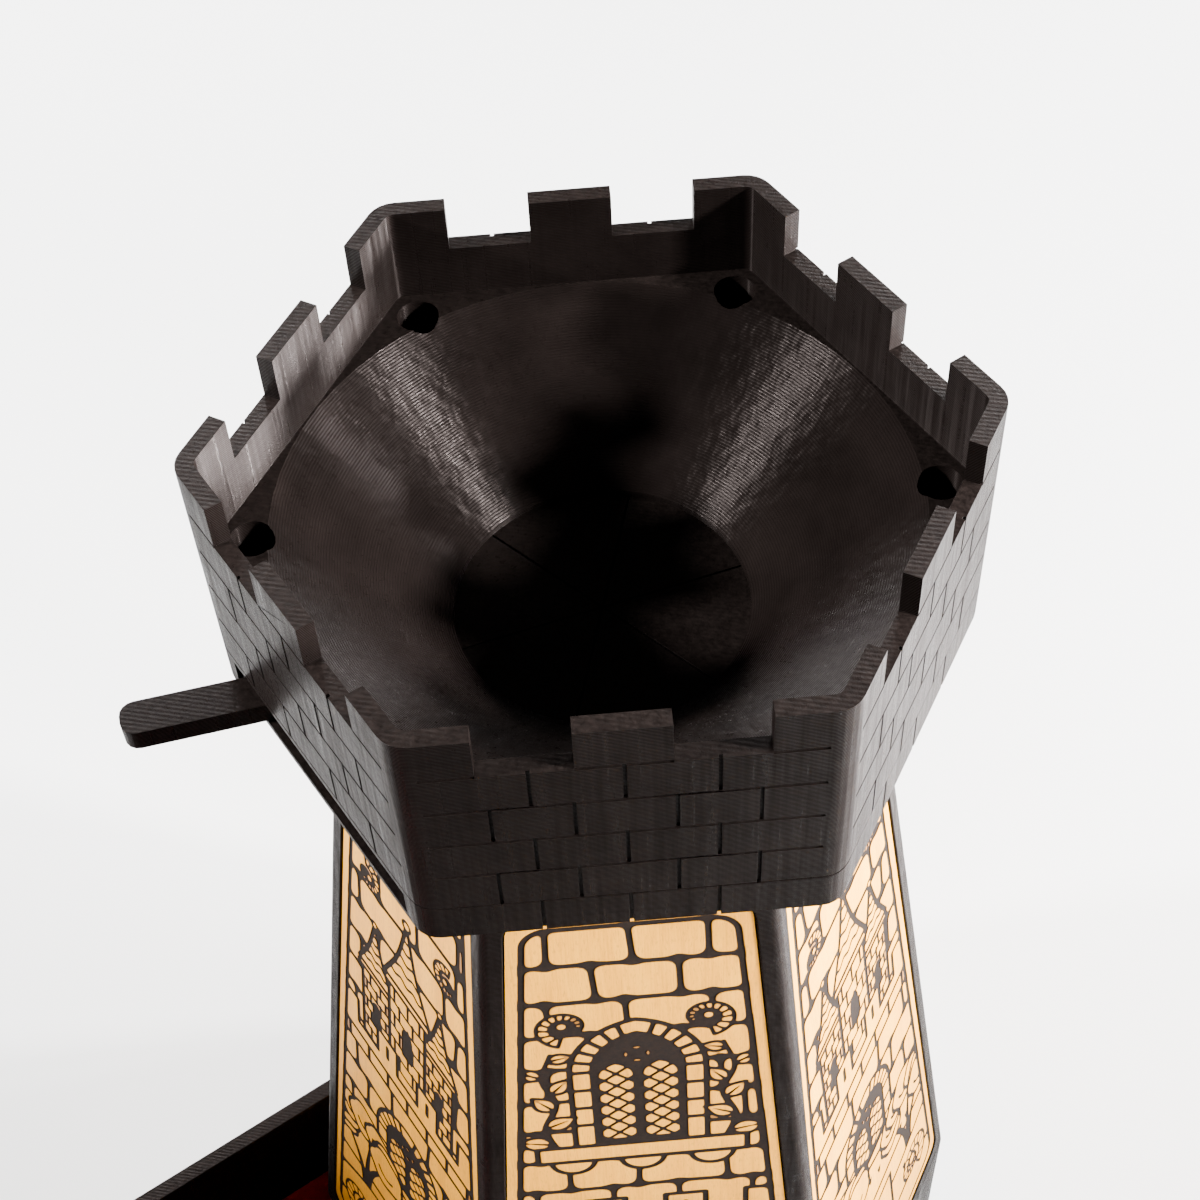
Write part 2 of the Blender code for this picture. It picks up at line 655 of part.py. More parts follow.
def make_shell(parent, material):
    """The flared tower: six corner posts, thin walls behind the panels, a top plate."""
    mesh = bmesh.new()
    lower = rounded_hexagon(SHELL_BOTTOM_APOTHEM, SHELL_CORNER_RADIUS)
    upper = rounded_hexagon(SHELL_TOP_APOTHEM, SHELL_CORNER_RADIUS)
    add_loft(mesh, [level(lower, SHELL_BOTTOM_Z), level(upper, SHELL_TOP_Z)])
    shell = new_object("tower_shell", mesh, material, parent)

    mesh = bmesh.new()
    add_shaft_frustum(mesh, SHELL_BOTTOM_Z - OVERRUN, SHELL_TOP_Z - SHELL_TOP_PLATE)
    cut(shell, new_cutter("cut_shaft", mesh, parent))

    mesh = bmesh.new()
    hole = circle_outline(COLLAR_OUTER_RADIUS + SEAT_GAP)
    bottom = SHELL_TOP_Z - SHELL_TOP_PLATE - OVERRUN
    add_prism(mesh, hole, bottom, SHELL_TOP_Z + OVERRUN)
    cut(shell, new_cutter("cut_collar_hole", mesh, parent))

    mesh = bmesh.new()
    depth = PANEL_INSET + PANEL_THICKNESS + SEAT_GAP
    for side in range(SIDES):
        angle = HALF_SIDE_ANGLE + SIDE_ANGLE * side
        add_face_slab(mesh, angle, panel_outline(SEAT_GAP), -depth, OVERRUN)
    cut(shell, new_cutter("cut_panel_recesses", mesh, parent))

    for place in range(len(BAFFLE_NAMES)):
        join(shell, make_shelf(place, parent))
    soften(shell)
    return shell


def baffle_line(place):
    """A baffle's wall side, its wall and free positions and its height at the wall."""
    side = BAFFLE_WALL_SIDES[place]
    height = SHELL_BOTTOM_Z + SHAFT_HEIGHT * BAFFLE_HEIGHT_SHARES[place]
    wall = shaft_apothem(height)
    free = -shaft_apothem(height) * BAFFLE_REACH_SHARES[place]
    return side, wall, free, height


def slope_profile(place, drop, thickness, free_setback):
    """The side view of a slab under a baffle's upper face, as (y, z) points."""
    side, wall, free, height = baffle_line(place)
    outer = wall + SHELL_WALL
    inner = free + free_setback
    upright = 1.0 / math.cos(BAFFLE_TILT)
    profile = []
    for distance, depth in ((outer, 0.0), (inner, 0.0), (inner, thickness), (outer, thickness)):
        z = height + (distance - wall) * BAFFLE_DROP - (drop + depth) * upright
        profile.append(Vector((side * distance, z)))
    return profile


def make_shelf(place, parent):
    """The narrow sloping shelf on the walls that a baffle lies on."""
    mesh = bmesh.new()
    drop = BAFFLE_THICKNESS + SEAT_GAP
    profile = slope_profile(place, drop, SHELF_THICKNESS, SHELF_SETBACK)
    add_side_prism(mesh, profile, SHELL_BOTTOM_APOTHEM * 2.0)
    shelf = new_cutter("add_shelf_{}".format(place + 1), mesh, parent)

    mesh = bmesh.new()
    bottom = SHELL_BOTTOM_Z - OVERRUN
    top = SHELL_TOP_Z - SHELL_TOP_PLATE
    add_shaft_frustum(mesh, bottom, top, SHELF_ROOT)
    clip(shelf, new_cutter("clip_shelf_{}".format(place + 1), mesh, parent))

    mesh = bmesh.new()
    add_shaft_frustum(mesh, bottom, top + OVERRUN, -SHELF_WIDTH)
    cut(shelf, new_cutter("cut_shelf_{}".format(place + 1), mesh, parent))
    return shelf


def make_baffles(parent, material):
    """Three sloping plates that turn the dice to and fro on their way down."""
    for place, name in enumerate(BAFFLE_NAMES):
        mesh = bmesh.new()
        profile = slope_profile(place, 0.0, BAFFLE_THICKNESS, 0.0)
        add_side_prism(mesh, profile, SHELL_BOTTOM_APOTHEM * 2.0)
        baffle = new_object(name, mesh, material, parent)

        mesh = bmesh.new()
        top = SHELL_TOP_Z - SHELL_TOP_PLATE
        add_shaft_frustum(mesh, SHELL_BOTTOM_Z - OVERRUN, top, -SEAT_GAP)
        clip(baffle, new_cutter("clip_{}".format(name), mesh, parent))


def make_panels(parent, material):
    """Six alike wooden panels, one in each recess of the shell."""
    mesh = bmesh.new()
    outline = panel_outline(0.0)
    outer = -PANEL_INSET
    add_face_slab(mesh, 0.0, outline, outer - PANEL_THICKNESS, outer)
    bmesh.ops.recalc_face_normals(mesh, faces=mesh.faces)
    data = bpy.data.meshes.new("wood_panel")
    mesh.to_mesh(data)
    mesh.free()
    for side in range(SIDES):
        panel = place_object("wood_panel_{}".format(side + 1), data, material, parent)
        panel.rotation_euler.z = FRONT_ANGLE + SIDE_ANGLE * side


def make_base(parent, material):
    """The hexagonal base: floor, walls, exit, and a spigot that the shell sits over."""
    mesh = bmesh.new()
    outline = rounded_hexagon(SHELL_BOTTOM_APOTHEM, SHELL_CORNER_RADIUS)
    add_prism(mesh, outline, 0.0, BASE_HEIGHT)
    base = new_object("tower_base", mesh, material, parent)

    mesh = bmesh.new()
    add_shaft_frustum(mesh, BASE_HEIGHT - BASE_FLANGE, BASE_HEIGHT + SPIGOT_HEIGHT, -SEAT_GAP)
    join(base, new_cutter("add_spigot", mesh, parent))

    mesh = bmesh.new()
    inside = rounded_hexagon(SHELL_BOTTOM_APOTHEM - BASE_WALL, SHAFT_CORNER_RADIUS)
    add_prism(mesh, inside, BASE_FLOOR, BASE_HEIGHT - BASE_FLANGE)
    cut(base, new_cutter("cut_base_inside", mesh, parent))

    mesh = bmesh.new()
    mouth = rounded_hexagon(base_mouth_apothem(), SHAFT_CORNER_RADIUS)
    bottom = BASE_HEIGHT - BASE_FLANGE - OVERRUN
    add_prism(mesh, mouth, bottom, BASE_HEIGHT + SPIGOT_HEIGHT + OVERRUN)
    cut(base, new_cutter("cut_base_mouth", mesh, parent))

    cut(base, make_exit_cutter(parent))
    soften(base)
    return base


def base_mouth_apothem():
    """The base's inner apothem at its spigot."""
    return shaft_apothem(BASE_HEIGHT + SPIGOT_HEIGHT) - SEAT_GAP - SPIGOT_WALL


def make_exit_cutter(parent):
    """The exit in the base's front wall, round at its upper corners."""
    mesh = bmesh.new()
    half = EXIT_WIDTH / 2.0
    top = BASE_FLOOR + EXIT_HEIGHT
    corners = [Vector((-half, BASE_FLOOR)), Vector((half, BASE_FLOOR))]
    for sign in (1.0, -1.0):
        centre = Vector((sign * (half - EXIT_CORNER_RADIUS), top - EXIT_CORNER_RADIUS))
        for step in range(CORNER_STEPS + 1):
            share = step / CORNER_STEPS
            angle = math.pi / 2.0 * (share if sign > 0.0 else 1.0 + share)
            corners.append(centre + polar(EXIT_CORNER_RADIUS, angle))
    near = -SHELL_BOTTOM_APOTHEM - OVERRUN
    far = -SHELL_BOTTOM_APOTHEM + BASE_WALL + OVERRUN
    loops = []
    for y in (far, near):
        loops.append([Vector((point.x, y, point.y)) for point in corners])
    add_loft(mesh, loops)
    return new_cutter("cut_exit", mesh, parent)


def make_ramp(parent, material):
    """The exit ramp: a sloping plate on two ribs that ends in the exit."""
    back = base_mouth_apothem() - SEAT_GAP
    lip = -SHELL_BOTTOM_APOTHEM
    slope = (RAMP_TOP_HEIGHT - RAMP_LIP_Z) / (back - lip)
    upright = RAMP_THICKNESS * math.hypot(1.0, slope)

    mesh = bmesh.new()
    profile = []
    far = back + OVERRUN
    near = lip - OVERRUN
    for y, drop in ((near, upright), (far, upright), (far, 0.0), (near, 0.0)):
        profile.append(Vector((y, RAMP_LIP_Z + (y - lip) * slope - drop)))
    add_side_prism(mesh, profile, SHELL_BOTTOM_APOTHEM * 2.0)
    ramp = new_object("exit_ramp", mesh, material, parent)

    mesh = bmesh.new()
    tongue = EXIT_WIDTH / 2.0 - SEAT_GAP
    outline = hexagon_corners(back)
    front_left, front_right = outline[4], outline[5]
    plan = outline[:5]
    plan.append(Vector((-tongue, front_left.y)))
    plan.append(Vector((-tongue, lip)))
    plan.append(Vector((tongue, lip)))
    plan.append(Vector((tongue, front_right.y)))
    plan.append(front_right)
    add_prism(mesh, plan, BASE_FLOOR + SEAT_GAP, RAMP_TOP_HEIGHT + OVERRUN)
    clip(ramp, new_cutter("clip_ramp", mesh, parent))

    for sign in (-1.0, 1.0):
        join(ramp, make_ramp_rib(sign, lip, slope, upright, parent))
    return ramp


def make_ramp_rib(sign, lip, slope, upright, parent):
    """One upright rib between the base's floor and the ramp's plate."""
    mesh = bmesh.new()
    bottom = BASE_FLOOR + SEAT_GAP
    start = lip + (bottom + upright - RAMP_LIP_Z) / slope + upright / slope
    end = base_mouth_apothem() - RAMP_RIB_SPREAD
    rise = RAMP_LIP_Z - upright / 2.0
    corners = [Vector((start, bottom)), Vector((end, bottom))]
    corners.append(Vector((end, rise + (end - lip) * slope)))
    corners.append(Vector((start, rise + (start - lip) * slope)))
    half = RAMP_RIB_THICKNESS / 2.0
    centre = sign * RAMP_RIB_SPREAD
    left = [Vector((centre - half, point.x, point.y)) for point in corners]
    right = [Vector((centre + half, point.x, point.y)) for point in corners]
    add_loft(mesh, [left, right])
    name = "add_ramp_rib_left" if sign < 0.0 else "add_ramp_rib_right"
    return new_cutter(name, mesh, parent)


def notch_points(gap):
    """The tray's rear edge: it follows the base's front and two slanting faces."""
    apothem = SHELL_BOTTOM_APOTHEM + gap
    corner = polar(apothem / math.cos(HALF_SIDE_ANGLE), -SIDE_ANGLE)
    return apothem, corner


def notch_arm_y(half_width, apothem):
    """Where a line at the given side distance meets the base's slanting face."""
    return (half_width * math.cos(HALF_SIDE_ANGLE) - apothem) / math.sin(HALF_SIDE_ANGLE)


def tray_plan(half_width, front, gap, radius):
    """A plan outline that hugs the base behind and is round at its front corners."""
    apothem, corner = notch_points(gap)
    arm_y = notch_arm_y(half_width, apothem)
    points = [Vector((half_width, arm_y)), Vector((corner.x, corner.y))]
    points.append(Vector((-corner.x, corner.y)))
    points.append(Vector((-half_width, arm_y)))
    for sign in (-1.0, 1.0):
        centre = Vector((sign * (half_width - radius), front + radius))
        for step in range(CORNER_STEPS + 1):
            share = step / CORNER_STEPS
            angle = math.pi if sign < 0.0 else -math.pi / 2.0
            points.append(centre + polar(radius, angle + math.pi / 2.0 * share))
    return points


def make_tray(parent, material):
    """The dice tray: a floor and three walls that hug the base's front."""
    front = -SHELL_BOTTOM_APOTHEM - SEAT_GAP - TRAY_LENGTH
    mesh = bmesh.new()
    outline = tray_plan(TRAY_WIDTH / 2.0, front, SEAT_GAP, TRAY_CORNER_RADIUS)
    add_prism(mesh, outline, 0.0, BASE_HEIGHT)
    tray = new_object("dice_tray", mesh, material, parent)

    mesh = bmesh.new()
    half = TRAY_WIDTH / 2.0 - TRAY_WALL
    inner_radius = TRAY_CORNER_RADIUS - TRAY_WALL
    inner_front = front + TRAY_WALL
    pocket = [Vector((half, OVERRUN)), Vector((-half, OVERRUN))]
    for sign in (-1.0, 1.0):
        centre = Vector((sign * (half - inner_radius), inner_front + inner_radius))
        for step in range(CORNER_STEPS + 1):
            share = step / CORNER_STEPS
            angle = math.pi if sign < 0.0 else -math.pi / 2.0
            pocket.append(centre + polar(inner_radius, angle + math.pi / 2.0 * share))
    add_prism(mesh, pocket, TRAY_FLOOR, BASE_HEIGHT + OVERRUN)
    cut(tray, new_cutter("cut_tray_pocket", mesh, parent))
    soften(tray)
    return tray


def make_felt(parent, material):
    """The felt sheet on the tray's floor."""
    front = -SHELL_BOTTOM_APOTHEM - SEAT_GAP - TRAY_LENGTH + TRAY_WALL + SEAT_GAP
    half = TRAY_WIDTH / 2.0 - TRAY_WALL - SEAT_GAP
    mesh = bmesh.new()
    outline = tray_plan(half, front, SEAT_GAP * 2.0, TRAY_CORNER_RADIUS - TRAY_WALL)
    add_prism(mesh, outline, FELT_BOTTOM_Z, FELT_TOP_Z)
    new_object("tray_felt", mesh, material, parent)


def build():
    """Make every piece of the dice tower."""
    clear_scene()
    black = make_material("black_print", (0.018, 0.015, 0.014), 0.45)
    wood = make_material("maple_ply", (0.77, 0.53, 0.29), 0.55)
    steel = make_material("black_steel", (0.05, 0.05, 0.05), 0.35, 1.0)
    felt = make_material("red_felt", (0.33, 0.01, 0.014), 0.95)

    axis = bpy.data.objects.new("tower_axis", None)
    axis.location.y = TOWER_AXIS_Y
    bpy.context.scene.collection.objects.link(axis)

    make_crown(axis, black)
    make_housing(axis, black)
    make_ring(axis, black)
    make_blades(axis, black)
    make_crown_screws(axis, steel)
    make_shell(axis, black)
    make_panels(axis, wood)
    make_baffles(axis, black)
    make_base(axis, black)
    make_ramp(axis, black)
    make_tray(axis, black)
    make_felt(axis, felt)


build()
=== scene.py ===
"""The looks of the castle dice tower: printed black crown, shell, base and tray,
laser-engraved wooden panels, and red felt."""

import math
import random

import bmesh
import bpy
import numpy as np
from mathutils import Matrix, Vector, noise
from mathutils.geometry import delaunay_2d_cdt


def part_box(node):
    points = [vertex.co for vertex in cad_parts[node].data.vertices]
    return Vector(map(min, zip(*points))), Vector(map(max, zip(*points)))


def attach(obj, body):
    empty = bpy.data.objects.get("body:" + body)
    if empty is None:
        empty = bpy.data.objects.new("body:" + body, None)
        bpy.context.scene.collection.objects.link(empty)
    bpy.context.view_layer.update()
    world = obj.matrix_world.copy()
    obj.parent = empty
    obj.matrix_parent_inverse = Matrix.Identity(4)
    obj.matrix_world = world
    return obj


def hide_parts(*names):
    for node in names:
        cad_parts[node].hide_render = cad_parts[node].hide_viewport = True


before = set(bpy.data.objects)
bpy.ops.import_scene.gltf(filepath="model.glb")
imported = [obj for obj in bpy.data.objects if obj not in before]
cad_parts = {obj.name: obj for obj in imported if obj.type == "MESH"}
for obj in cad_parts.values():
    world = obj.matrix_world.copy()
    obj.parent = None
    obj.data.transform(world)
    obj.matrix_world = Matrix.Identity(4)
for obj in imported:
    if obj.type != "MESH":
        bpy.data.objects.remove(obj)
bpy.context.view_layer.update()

MM = 0.001
SIDES = 6
SIDE_ANGLE = math.radians(60.0)
FRONT_ANGLE = math.radians(-90.0)

# Places read from the frame
CROWN_LOW, CROWN_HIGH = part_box("crown_hopper")
HOUSING_LOW, HOUSING_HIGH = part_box("gate_housing")
TOWER_Y = (CROWN_LOW.y + CROWN_HIGH.y) / 2.0
CROWN_APOTHEM = (CROWN_HIGH.y - CROWN_LOW.y) / 2.0
COURSE = (CROWN_HIGH.z - CROWN_LOW.z) / 5.0

# Masonry relief on the crown
JOINT_WIDTH = 0.55 * MM
JOINT_DEPTH = 0.5 * MM
BED_HALF_LENGTH = 27.0 * MM
MERLON_HALF = 6.5 * MM
CORNER_MERLON_START = 19.5 * MM
ODD_JOINTS = (-12.6 * MM, 0.0, 12.6 * MM)
EVEN_JOINTS = (-18.2 * MM, -6.9 * MM, 6.9 * MM, 18.2 * MM)
SLOT_SIDE = 4

# Softened edges
FINE_EDGE = 0.25 * MM
SOFT_EDGE = 0.5 * MM
EDGE_ANGLE = math.radians(32.0)
FLAT_ANGLE = math.radians(0.5)
SAME_PLACE = 0.002 * MM

# Cap screws
SCREW_RADIUS = 1.5 * MM
SCREW_HEAD_HEIGHT = 3.0 * MM
SCREW_STEPS = 48
SOCKET_RADIUS = 1.44 * MM
SOCKET_DEPTH = 1.5 * MM

# Felt
FELT_GRID = 1.6 * MM
FINE_NAP_SCALE = 900.0
FINE_NAP_HEIGHT = 0.05 * MM
BROAD_NAP_SCALE = 90.0
BROAD_NAP_HEIGHT = 0.06 * MM
NAP_DROP = 0.1 * MM

# Engraved drawing
CELL = 0.16 * MM
FAR = 2.4 * MM
LINE_ROUNDING = 0.16 * MM
STONE_ROUNDING = 2.0 * MM
FRAME_ROUNDING = 1.2 * MM
SMOOTHING_CELLS = 1.1
SIMPLE_ERROR = 0.018 * MM
RIM_WIDTH = 0.16 * MM
RIM_DROP = 0.05 * MM
ENGRAVING_DEPTH = 0.16 * MM
LINE = 1.05 * MM
THIN_LINE = 0.68 * MM
FRAME_LINE = 1.1 * MM
FRAME_INSET = 2.2 * MM
FRAME_CORNER = 4.2 * MM
BRICK_ROW = 9.8 * MM
BRICK_LENGTH = 14.4 * MM
BED_POINTS = 7
BED_WAVE = 0.3 * MM
JOINT_LEAN = 0.35 * MM
GRAIN_SPAN = 100.0 * MM
GRAIN_SHIFT = (1.7, 0.6)

# Lines through a cell for each set of its corners that lie in ink. A cell's sides
# count from the lower one on, against the clock, and so do its corners.
CELL_LINES = {
    1: ((0, 3),), 2: ((1, 0),), 3: ((1, 3),), 4: ((2, 1),), 5: ((0, 1), (2, 3)), 6: ((2, 0),),
    7: ((2, 3),), 8: ((3, 2),), 9: ((0, 2),), 10: ((3, 0), (1, 2)), 11: ((1, 2),),
    12: ((3, 1),), 13: ((0, 1),), 14: ((3, 0),),
}

# Printed surface
LAYER_HEIGHT = 0.32 * MM
RASTER_PITCH = 1.1 * MM
LEVEL_SHARE = 0.97
PRINT_RELIEF = 0.065 * MM

# Relief of the other surfaces
GRAIN_RELIEF = 0.04 * MM
CHAR_RELIEF = 0.06 * MM
FIBRE_RELIEF = 0.25 * MM

# Camera, from the photograph's perspective
CAMERA_PLACE = (178.34 * MM, -50.23 * MM, 511.71 * MM)
CAMERA_TURN = (math.radians(38.508), math.radians(2.130), math.radians(55.671))
CAMERA_ANGLE = math.radians(31.035)
CAMERA_NEAREST = 10.0 * MM

# Floor, and the lights: name, place, what it is aimed at, size, power and spread in degrees
FLOOR_HALF = 4.0
HEAD = (0.0, TOWER_Y, 0.25)
PANEL = (0.0, TOWER_Y, 0.14)
LIGHTS = (
    ("floor_light_left", (-1.16, 0.31, 0.5), (-0.45, 0.06, 0.0), 0.5, 11.0, 62.0),
    ("floor_light_right", (-0.655, 1.05, 0.5), (-0.17, 0.5, 0.0), 0.5, 11.0, 62.0),
    ("floor_light_side", (0.75, 0.95, 0.7), (0.12, 0.42, 0.0), 0.4, 4.0, 32.0),
    ("right_light", (0.735, 0.61, 0.69), HEAD, 0.08, 1.3, 24.0),
    ("second_right_light", (0.37, 0.91, 0.64), HEAD, 0.04, 0.3, 24.0),
    ("low_right_light", (0.49, 0.99, 0.36), HEAD, 0.08, 4.0, 30.0),
    ("left_light", (-0.344, -0.75, 0.73), HEAD, 0.07, 0.85, 24.0),
    ("front_light", (0.92, 0.42, 0.42), PANEL, 0.12, 0.34, 21.0),
)


def new_piece(name, mesh):
    """Turn a finished bmesh into an object at the origin."""
    data = bpy.data.meshes.new(name)
    mesh.to_mesh(data)
    mesh.free()
    piece = bpy.data.objects.new(name, data)
    bpy.context.scene.collection.objects.link(piece)
    return piece


def apply_modifiers(piece):
    """Keep what the piece's modifiers make as its own mesh."""
    graph = bpy.context.evaluated_depsgraph_get()
    data = bpy.data.meshes.new_from_object(piece.evaluated_get(graph))
    piece.modifiers.clear()
    piece.data = data


def merge_flat_faces(mesh):
    """Join points that coincide and make flat faces whole."""
    bmesh.ops.remove_doubles(mesh, verts=mesh.verts, dist=SAME_PLACE)
    bmesh.ops.dissolve_degenerate(mesh, dist=SAME_PLACE, edges=mesh.edges)
    bmesh.ops.dissolve_limit(
        mesh,
        angle_limit=FLAT_ANGLE,
        use_dissolve_boundaries=False,
        verts=mesh.verts,
        edges=mesh.edges,
    )
    bmesh.ops.recalc_face_normals(mesh, faces=mesh.faces)


def copied_solid(node, name, merged=True):
    """A clean copy of a CAD solid, with its flat faces whole again where asked."""
    mesh = bmesh.new()
    mesh.from_mesh(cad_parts[node].data)
    if merged:
        merge_flat_faces(mesh)
    else:
        bmesh.ops.remove_doubles(mesh, verts=mesh.verts, dist=SAME_PLACE)
    piece = new_piece(name, mesh)
    piece.data.materials.clear()
    return piece


def cut(piece, cutter):
    """Take the cutter's space out of the piece and remove the cutter."""
    modifier = piece.modifiers.new("cut", "BOOLEAN")
    modifier.operation = "DIFFERENCE"
    modifier.solver = "EXACT"
    modifier.object = cutter
    apply_modifiers(piece)
    bpy.data.objects.remove(cutter)
    mesh = bmesh.new()
    mesh.from_mesh(piece.data)
    merge_flat_faces(mesh)
    mesh.to_mesh(piece.data)
    mesh.free()


def soften_edges(piece, width, segments=2):
    """Round the sharp edges and keep the flat faces flat in the light."""
    piece.data.shade_smooth()
    modifier = piece.modifiers.new("soft_edges", "BEVEL")
    modifier.limit_method = "ANGLE"
    modifier.angle_limit = EDGE_ANGLE
    modifier.width = width
    modifier.segments = segments
    modifier.use_clamp_overlap = True
    modifier.miter_outer = "MITER_ARC"
    modifier = piece.modifiers.new("even_light", "WEIGHTED_NORMAL")
    modifier.mode = "FACE_AREA"
    modifier.weight = 80
    modifier.keep_sharp = True
    apply_modifiers(piece)


def dress(piece, materials, body, slot, *nodes):
    """Give a piece its materials and body, and let it stand for its CAD nodes."""
    for material in materials:
        piece.data.materials.append(material)
    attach(piece, body)
    if nodes:
        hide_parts(*nodes)


def make_softened(node, name, body, material, width, segments=2, merged=True):
    """A CAD solid's copy with rounded edges."""
    piece = copied_solid(node, name, merged)
    soften_edges(piece, width, segments)
    dress(piece, [material], body, "black_print", node)


# Crown


def face_box(mesh, side, span, heights, depth):
    """A box that cuts into one crown face, across a span and between two heights."""
    place = Matrix.Translation((0.0, TOWER_Y, 0.0))
    place = place @ Matrix.Rotation(SIDE_ANGLE * (side + 0.5), 4, "Z")
    middle = Vector((CROWN_APOTHEM, sum(span) / 2.0, sum(heights) / 2.0))
    size = Vector((depth * 2.0, span[1] - span[0], heights[1] - heights[0]))
    place = place @ Matrix.Translation(middle) @ Matrix.Diagonal(size.to_4d())
    bmesh.ops.create_cube(mesh, size=1.0, matrix=place)


def bed_joint_cutter():
    """The level grooves between the crown's courses, short of its rounded corners."""
    mesh = bmesh.new()
    half = JOINT_WIDTH / 2.0
    for side in range(SIDES):
        level = CROWN_HIGH.z - COURSE
        spans = [(-MERLON_HALF, MERLON_HALF)]
        spans.append((CORNER_MERLON_START, BED_HALF_LENGTH))
        spans.append((-BED_HALF_LENGTH, -CORNER_MERLON_START))
        for span in spans:
            face_box(mesh, side, span, (level - half, level + half), JOINT_DEPTH)
        for course in (2, 3, 4):
            level = CROWN_HIGH.z - COURSE * course
            span = (-BED_HALF_LENGTH, BED_HALF_LENGTH)
            face_box(mesh, side, span, (level - half, level + half), JOINT_DEPTH)
    return new_piece("bed_joints", mesh)


def cross_joint_cutter(courses, joints):
    """The upright grooves of some courses."""
    mesh = bmesh.new()
    half = JOINT_WIDTH / 2.0
    for side in range(SIDES):
        for course in courses:
            high = CROWN_HIGH.z - COURSE * course
            low = high - COURSE - half / 2.0
            for place in joints:
                face_box(mesh, side, (place - half, place + half), (low, high), JOINT_DEPTH)
    return new_piece("cross_joints", mesh)


def make_crown(material):
    """The battlements with their masonry relief, and the funnel."""
    crown = copied_solid("crown_hopper", "battlements")
    cut(crown, bed_joint_cutter())
    cut(crown, cross_joint_cutter((1, 3), ODD_JOINTS))
    cut(crown, cross_joint_cutter((2, 4), EVEN_JOINTS))
    soften_edges(crown, FINE_EDGE)
    dress(crown, [material], "tower", "black_print", "crown_hopper")


def make_housing(material):
    """The lowest course with the lever's slot."""
    housing = copied_solid("gate_housing", "lowest_course")
    top = HOUSING_HIGH.z + MM
    mesh = bmesh.new()
    half = JOINT_WIDTH / 2.0
    for side in range(SIDES):
        if side == SLOT_SIDE:
            continue
        for place in ODD_JOINTS:
            low = HOUSING_LOW.z - MM
            face_box(mesh, side, (place - half, place + half), (low, top), JOINT_DEPTH)
    cut(housing, new_piece("cross_joints", mesh))
    soften_edges(housing, FINE_EDGE)
    dress(housing, [material], "tower", "black_print", "gate_housing")


# Engraved drawing on a panel


def blended_minimum(first, second, rounding=LINE_ROUNDING):
    """The smaller of two distances, with a rounded change between them."""
    share = np.clip(0.5 + 0.5 * (second - first) / rounding, 0.0, 1.0)
    return second * (1.0 - share) + first * share - rounding * share * (1.0 - share)


